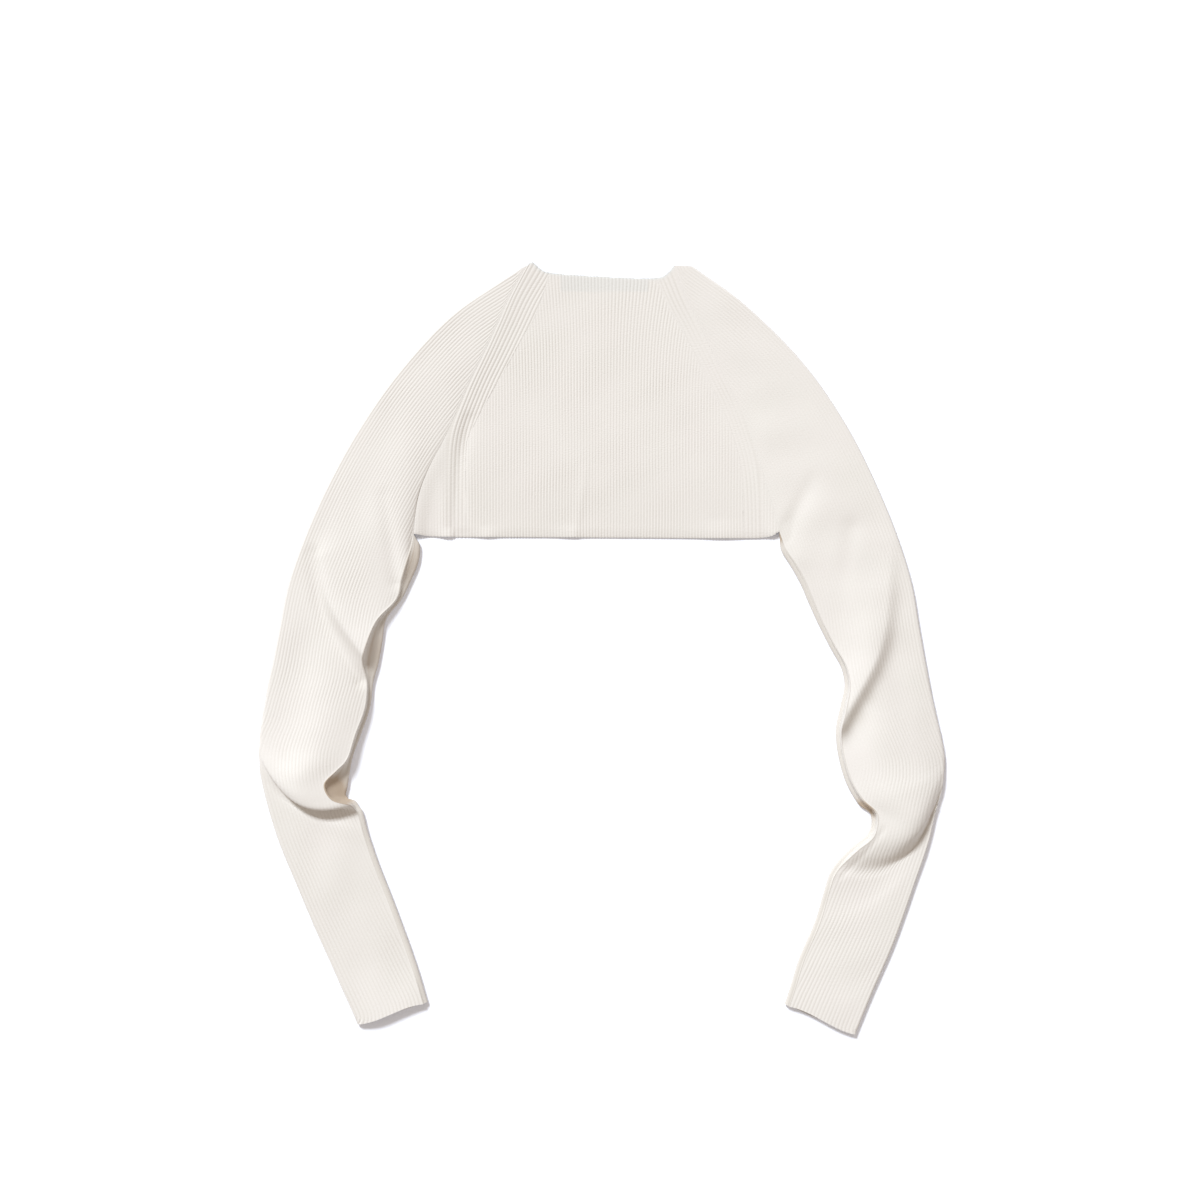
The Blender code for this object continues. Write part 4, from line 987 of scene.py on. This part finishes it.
def build_back(cloth, finish):
    """The ribbed back panel with its bold bands, and its plain underside."""
    shares = np.sort(np.concatenate([np.linspace(0, 1, BACK_ROWS), BACK_END_ROWS]))
    seam_places = shares * (len(RAGLAN_LEFT) - 1)
    knots = np.arange(len(RAGLAN_LEFT))
    left = moved_sideways(spline(knots, RAGLAN_LEFT, seam_places), -cloth.seam_gap / 2)
    right = moved_sideways(spline(knots, RAGLAN_RIGHT, seam_places), cloth.seam_gap / 2)
    left_x, right_x = left[:, :1], right[:, :1]
    levels = (left[:, 1] + right[:, 1]) / 2
    places, numbers, bold, left_inner, right_inner = back_lines(
        left[:, 0], right[:, 0], levels, shares, cloth
    )
    top = back_points(places, shares, left, right, cloth)
    y = top[..., 1]
    lift = rib_height(numbers) * np.ones_like(places)
    seam_distance = np.minimum(places - left_x, right_x - places)
    ends = np.minimum(y - y[:1], y[-1:] - y)
    fade = back_rib_fade(places, y, seam_distance, left_x, left_inner, right_inner)
    raised = top.copy()
    raised[..., 2] += lift * bold * cloth.rib_rise * fade - RIM_PRESS * near(ends, RIM_PRESS_WIDTH)
    scallop = (lift - SCALLOP_LEVEL) * fade * SCALLOP
    ripple = np.sin(places[-1] / NECK_RIPPLE_SHORT) * np.sin(places[-1] / NECK_RIPPLE_LONG)
    raised[0, :, 1] -= scallop[0]
    raised[-1, :, 1] += scallop[-1] + NECK_RIPPLE * ripple * fade[-1]

    piece = Cloth()
    rib_places = np.stack(np.broadcast_arrays(numbers, y / STITCH), axis=-1)
    at_neck = (shares > 0.5)[:, None]
    # Painted shade along the neck and hem edges, added to that in the grooves
    rim_shade = np.where(at_neck, NECK_SHADE, HEM_SHADE) * near(ends, RIM_SHADE_WIDTH)
    tape = soft_step((places - TAPE_LEFT) / TAPE_EDGE) * soft_step((TAPE_RIGHT - places) / TAPE_EDGE)
    tape = TAPE_TINT * tape * soft_step((y - TAPE_FOOT) / TAPE_EDGE)
    tape = np.maximum(tape, NECK_LINE_TINT * at_neck * near(ends, NECK_LINE_WIDTH))
    strip = piece.add(raised, rib_places, (0.5 - lift) * fade + rim_shade, -tape)
    upper = joined(strip, places)
    piece.edges += border_lines(upper)
    piece.grid(upper)

    below = [0, 0, cloth.wall]
    coarse = np.linspace(0, 1, ACROSS)
    chosen = np.arange(INNER_STEP, len(shares) - INNER_STEP // 2, INNER_STEP)
    coarse_places = (left_x + coarse * (right_x - left_x))[chosen]
    under = back_points(coarse_places, shares[chosen], left[chosen], right[chosen], cloth) - below
    under_ribs = np.stack([under[..., 0] / cloth.body_rib, under[..., 1] / STITCH], axis=-1)
    lower = piece.add(under, under_ribs, UNDER_SHADE, 1.0)
    piece.grid(lower)
    rims = []
    for end in (0, -1):
        rim_points = top[end] - below
        rim_points[:, 1] = raised[end, :, 1]
        rim = piece.add(rim_points, (0, 0), PANEL_RIM_SHADE, 1.0)
        rim = joined(rim, places[end])[0]
        piece.grid(np.stack([upper[end], rim]))
        span = (places[end] - left_x[end]) / (right_x[end] - left_x[end])
        piece.zip_lines(rim, lower[end], span, coarse)
        rims.append(rim)
    for side in (0, -1):
        edge = np.array([rims[0][side], *lower[:, side], rims[1][side]])
        piece.zip_lines(upper[:, side], edge, shares, [0, *shares[chosen], 1])
    return piece.make("back_panel_knit", finish)


# Front panels


def build_front(name, raglan, side, cloth, finish):
    """One front under the back: raglan edge, scooped neck, straight opening and hem."""
    edge = moved_sideways(smooth_line(raglan, FRONT_ROWS), -side * cloth.seam_gap / 2)
    edge_x, edge_y = edge[:, :1], edge[:, 1:]
    underarm, neck = edge[0], edge[-1]
    middle_x = -side * FRONT_OPENING
    shares = np.linspace(0, 1, FRONT_COLUMNS)
    x = edge_x + shares * (middle_x - edge_x)
    neck_share = np.clip((x[-1] - neck[0]) / (middle_x - neck[0]), 0, 1)
    scoop = (1 - neck_share) ** FRONT_NECK_CURVE
    neck_y = FRONT_NECK_BOTTOM + (neck[1] - FRONT_NECK_BOTTOM) * scoop
    hem_y = underarm[1] + (FRONT_HEM - underarm[1]) * soft_step(shares / FRONT_HEM_TURN)
    y = hem_y + (edge_y - underarm[1]) / (neck[1] - underarm[1]) * (neck_y - hem_y)
    z = np.full_like(x, cloth.wall * FRONT_WALL - FRONT_EDGE)
    z[1:-1, 1:-1] = cloth.wall * FRONT_WALL
    piece = Cloth()
    ribs = np.stack([x / cloth.body_rib, y / STITCH], axis=-1)
    upper = piece.add(np.stack([x, y, z], axis=-1), ribs, UNDER_SHADE, 1.0)
    lower = piece.add(np.stack([x, y, np.zeros_like(x)], axis=-1), ribs, UNDER_SHADE, 1.0)
    piece.grid(upper)
    piece.grid(lower)
    for line, other in zip(border_lines(upper), border_lines(lower)):
        piece.edges.append(line)
        piece.grid(np.stack([line, other]))
    return piece.make(name, finish)


# Finishes


def feed(tree, slot, value):
    """Links a socket or a shade to a slot, or sets the slot to a value."""
    if isinstance(value, Shade):
        value = value.socket
    if isinstance(value, bpy.types.NodeSocket):
        tree.links.new(value, slot)
    else:
        slot.default_value = value


class Shade:
    """A socket of the node tree in arithmetic, which adds the Math nodes that it needs."""

    def __init__(self, tree, socket):
        self.tree, self.socket = tree, socket

    def math(self, operation, *others):
        """The result of a Math node that starts with this socket."""
        node = self.tree.nodes.new("ShaderNodeMath")
        node.operation = operation
        for slot, value in zip(node.inputs, (self, *others)):
            feed(self.tree, slot, value)
        return Shade(self.tree, node.outputs[0])

    def __add__(self, other):
        return self.math("ADD", other)

    def __sub__(self, other):
        return self.math("SUBTRACT", other)

    def __mul__(self, other):
        return self.math("MULTIPLY", other)

    def __rsub__(self, other):
        return self * -1.0 + other

    __radd__ = __add__
    __rmul__ = __mul__

    def sine(self):
        return self.math("SINE")

    def size(self):
        return self.math("ABSOLUTE")

    def power(self, exponent):
        return self.math("POWER", exponent)

    def at_least(self, bound):
        return self.math("MAXIMUM", bound)

    def at_most(self, bound):
        return self.math("MINIMUM", bound)


class Finish:
    """A material and the nodes that paint it."""

    def __init__(self, name):
        self.material = bpy.data.materials.new(name)
        self.material.use_nodes = True
        self.tree = self.material.node_tree
        self.shader = self.tree.nodes["Principled BSDF"]

    def node(self, kind, settings, sockets):
        """A node of a kind, with its settings first and then its sockets' values or links."""
        made = self.tree.nodes.new(kind)
        for setting, value in settings.items():
            setattr(made, setting, value)
        for slot, value in sockets.items():
            feed(self.tree, made.inputs[slot], value)
        return made

    def shade(self, kind, settings, sockets, output):
        """One output of a new node, ready for arithmetic."""
        return Shade(self.tree, self.node(kind, settings, sockets).outputs[output])

    def attribute(self, name):
        """A value that the points of the mesh carry."""
        return self.shade("ShaderNodeAttribute", {"attribute_name": name}, {}, "Fac")

    def noise(self, vector, scale, detail):
        """Soft noise at each place, with more detail at higher values."""
        sockets = {"Vector": vector, "Scale": scale, "Detail": detail}
        return self.shade("ShaderNodeTexNoise", {}, sockets, "Fac")

    def mix(self, factor, first, second):
        """The first colour where the factor is 0 and the second where it is 1."""
        sockets = {0: factor, 6: first, 7: second}
        return self.node("ShaderNodeMix", {"data_type": "RGBA"}, sockets).outputs[2]

    def surface(self, values):
        """Sets or links sockets of the shader by their names."""
        for title, value in values.items():
            feed(self.tree, self.shader.inputs[title], value)


def rib_knit(cloth):
    """Matte cream yarn in fine ribs, with painted shade deep between them that is a little darker and
    warmer.

    Over the neck tape, where plain is below 0, the grooves are paler.
    """
    finish = Finish(FINISH)
    place = finish.node("ShaderNodeUVMap", {"uv_map": "Ribs"}, {}).outputs[0]
    where = finish.node("ShaderNodeTexCoord", {}, {}).outputs["Object"]
    rib = finish.shade("ShaderNodeSeparateXYZ", {}, {"Vector": place}, "X")
    groove, plain = finish.attribute("groove"), finish.attribute("plain")

    crest = (rib * np.pi).sine().size()
    drawn_groove = (1.0 - crest) * plain
    # Painted shade: grooves, also drawn ones, turn to the groove shade colour
    depth = (groove * GROOVE_SHADE + drawn_groove * DRAWN_SHADE).at_most(1.0)
    tone = finish.noise(where, TINT_SCALE, 3.0)
    fibres = finish.noise(place, FIBRE_SCALE, 2.0)
    cool, warm = (np.array(cloth.yarn_colour) * tint for tint in (COOL, WARM))
    lit = finish.mix(tone, (*cool, 1), (*warm, 1))
    knit = finish.mix(depth, lit, (*cloth.groove_shade_colour, 1))
    # Painted shade between the layers: past INSIDE_FROM it turns to the pocket shade colour
    inside = ((groove - INSIDE_FROM) * INSIDE_GROWTH).at_least(0.0).at_most(1.0)
    tape = (plain * -1.0).at_least(0.0)
    backed = finish.mix(tape, knit, (*cloth.tape_colour, 1))
    colour = finish.mix(inside, backed, (*cloth.pocket_shade_colour, 1))

    drawn_rib = crest.power(RIB_SHAPE) * plain.at_least(0.0) * (1.0 - inside)
    height = drawn_rib * DRAWN_BUMP + fibres * FIBRE_BUMP
    sockets = {"Strength": 1.0, "Distance": MM, "Height": height}
    bump = finish.node("ShaderNodeBump", {}, sockets)
    finish.surface({
        "Base Color": colour, "Roughness": 0.92, "Specular IOR Level": 0.15,
        "Sheen Weight": 0.06, "Sheen Roughness": 0.6, "Normal": bump.outputs["Normal"],
    })
    return finish.material


# Operators


def cloth_of(context):
    """The settings of the cloth."""
    return context.scene.cardigan_cloth


def knit_finish(context):
    """The one material of all the knit, made when it is first asked for."""
    return bpy.data.materials.get(FINISH) or rib_knit(cloth_of(context))


def lay_down(piece, node):
    """Ties a piece to the frame as the laid cloth that stands for one of its nodes."""
    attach(piece, "root")
    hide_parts(node)


class CARDIGAN_OT_fronts(bpy.types.Operator):
    """Lays the two plain front panels on the surface"""

    bl_idname = "cardigan.fronts"
    bl_label = "Front panels"

    def execute(self, context):
        cloth, finish = cloth_of(context), knit_finish(context)
        left = build_front("front_left_knit", RAGLAN_LEFT, 1, cloth, finish)
        right = build_front("front_right_knit", RAGLAN_RIGHT, -1, cloth, finish)
        lay_down(left, "front_panel_left")
        lay_down(right, "front_panel_right")
        return {"FINISHED"}


class CARDIGAN_OT_back(bpy.types.Operator):
    """Knits the ribbed back panel over the fronts"""

    bl_idname = "cardigan.back"
    bl_label = "Back panel"

    def execute(self, context):
        back = build_back(cloth_of(context), knit_finish(context))
        lay_down(back, "back_panel")
        return {"FINISHED"}


class CARDIGAN_OT_sleeves(bpy.types.Operator):
    """Knits the two sleeves, pressed flat and folded at the elbows"""

    bl_idname = "cardigan.sleeves"
    bl_label = "Sleeves"

    def execute(self, context):
        cloth, finish = cloth_of(context), knit_finish(context)
        for node, form in (("sleeve_left", LEFT_FORM), ("sleeve_right", RIGHT_FORM)):
            piece = build_sleeve(node + "_knit", Sleeve(form, cloth), finish)
            lay_down(piece, node)
        return {"FINISHED"}


class CARDIGAN_OT_stage(bpy.types.Operator):
    """Sets the pale floor, the soft lights and the camera straight above"""

    bl_idname = "cardigan.stage"
    bl_label = "Studio"

    def execute(self, context):
        studio = context.scene.cardigan_studio
        bpy.ops.object.select_all(action="DESELECT")
        bpy.ops.mesh.primitive_plane_add(size=FLOOR_SIZE, location=(0, 0, -FLOOR_DEPTH))
        floor = context.active_object
        floor.name = "floor"
        finish = Finish("studio_floor")
        finish.surface({
            "Base Color": (*studio.floor_colour, 1), "Roughness": 0.9,
            "Specular IOR Level": 0.1, "Emission Color": FLOOR_GLOW_COLOUR,
            "Emission Strength": studio.floor_glow,
        })
        floor.data.materials.append(finish.material)
        light_up(context.scene, studio)
        aim_camera(context.scene, studio.view_width)
        context.scene.view_settings.view_transform = "Standard"
        return {"FINISHED"}


def light_up(scene, studio):
    """Even light from all round, and a broad sun from the upper left, about half way up."""
    world = bpy.data.worlds.new("studio")
    world.use_nodes = True
    background = world.node_tree.nodes["Background"]
    background.inputs["Color"].default_value = SKY_COLOUR
    background.inputs["Strength"].default_value = studio.sky_strength
    scene.world = world
    sun = bpy.data.lights.new("key", "SUN")
    sun.angle = np.radians(KEY_DEGREES)
    sun.energy = studio.key_power
    sun.color = KEY_COLOUR
    light = bpy.data.objects.new("key", sun)
    scene.collection.objects.link(light)
    light.location = KEY_PLACE
    light.rotation_euler = (-Vector(KEY_PLACE)).to_track_quat("-Z", "Y").to_euler()


def aim_camera(scene, view_width):
    """A camera straight above, as far up as shows the given width of the floor."""
    data = bpy.data.cameras.new("camera")
    data.lens = LENS
    camera = bpy.data.objects.new("camera", data)
    scene.collection.objects.link(camera)
    distance = view_width * LENS / data.sensor_width
    camera.location = Vector(VIEW_CENTRE) + Vector((0, 0, distance))
    scene.camera = camera


class CARDIGAN_PT_panel(bpy.types.Panel):
    """Lists the settings and the operators"""

    bl_label = "Cardigan"
    bl_space_type = "VIEW_3D"
    bl_region_type = "UI"
    bl_category = "Cardigan"

    def draw(self, context):
        for group in (context.scene.cardigan_cloth, context.scene.cardigan_studio):
            for title in group.__annotations__:
                self.layout.prop(group, title)
        for operator in OPERATORS:
            self.layout.operator(operator.bl_idname)


OPERATORS = (CARDIGAN_OT_stage, CARDIGAN_OT_fronts, CARDIGAN_OT_back, CARDIGAN_OT_sleeves)
CLASSES = (CardiganCloth, CardiganStudio, *OPERATORS, CARDIGAN_PT_panel)


def register():
    for item in CLASSES:
        bpy.utils.register_class(item)
    bpy.types.Scene.cardigan_cloth = PointerProperty(type=CardiganCloth)
    bpy.types.Scene.cardigan_studio = PointerProperty(type=CardiganStudio)


def unregister():
    del bpy.types.Scene.cardigan_studio
    del bpy.types.Scene.cardigan_cloth
    for item in reversed(CLASSES):
        bpy.utils.unregister_class(item)


def main():
    register()
    bpy.ops.cardigan.stage()
    bpy.ops.cardigan.fronts()
    bpy.ops.cardigan.back()
    bpy.ops.cardigan.sleeves()


if __name__ == "__main__":
    main()
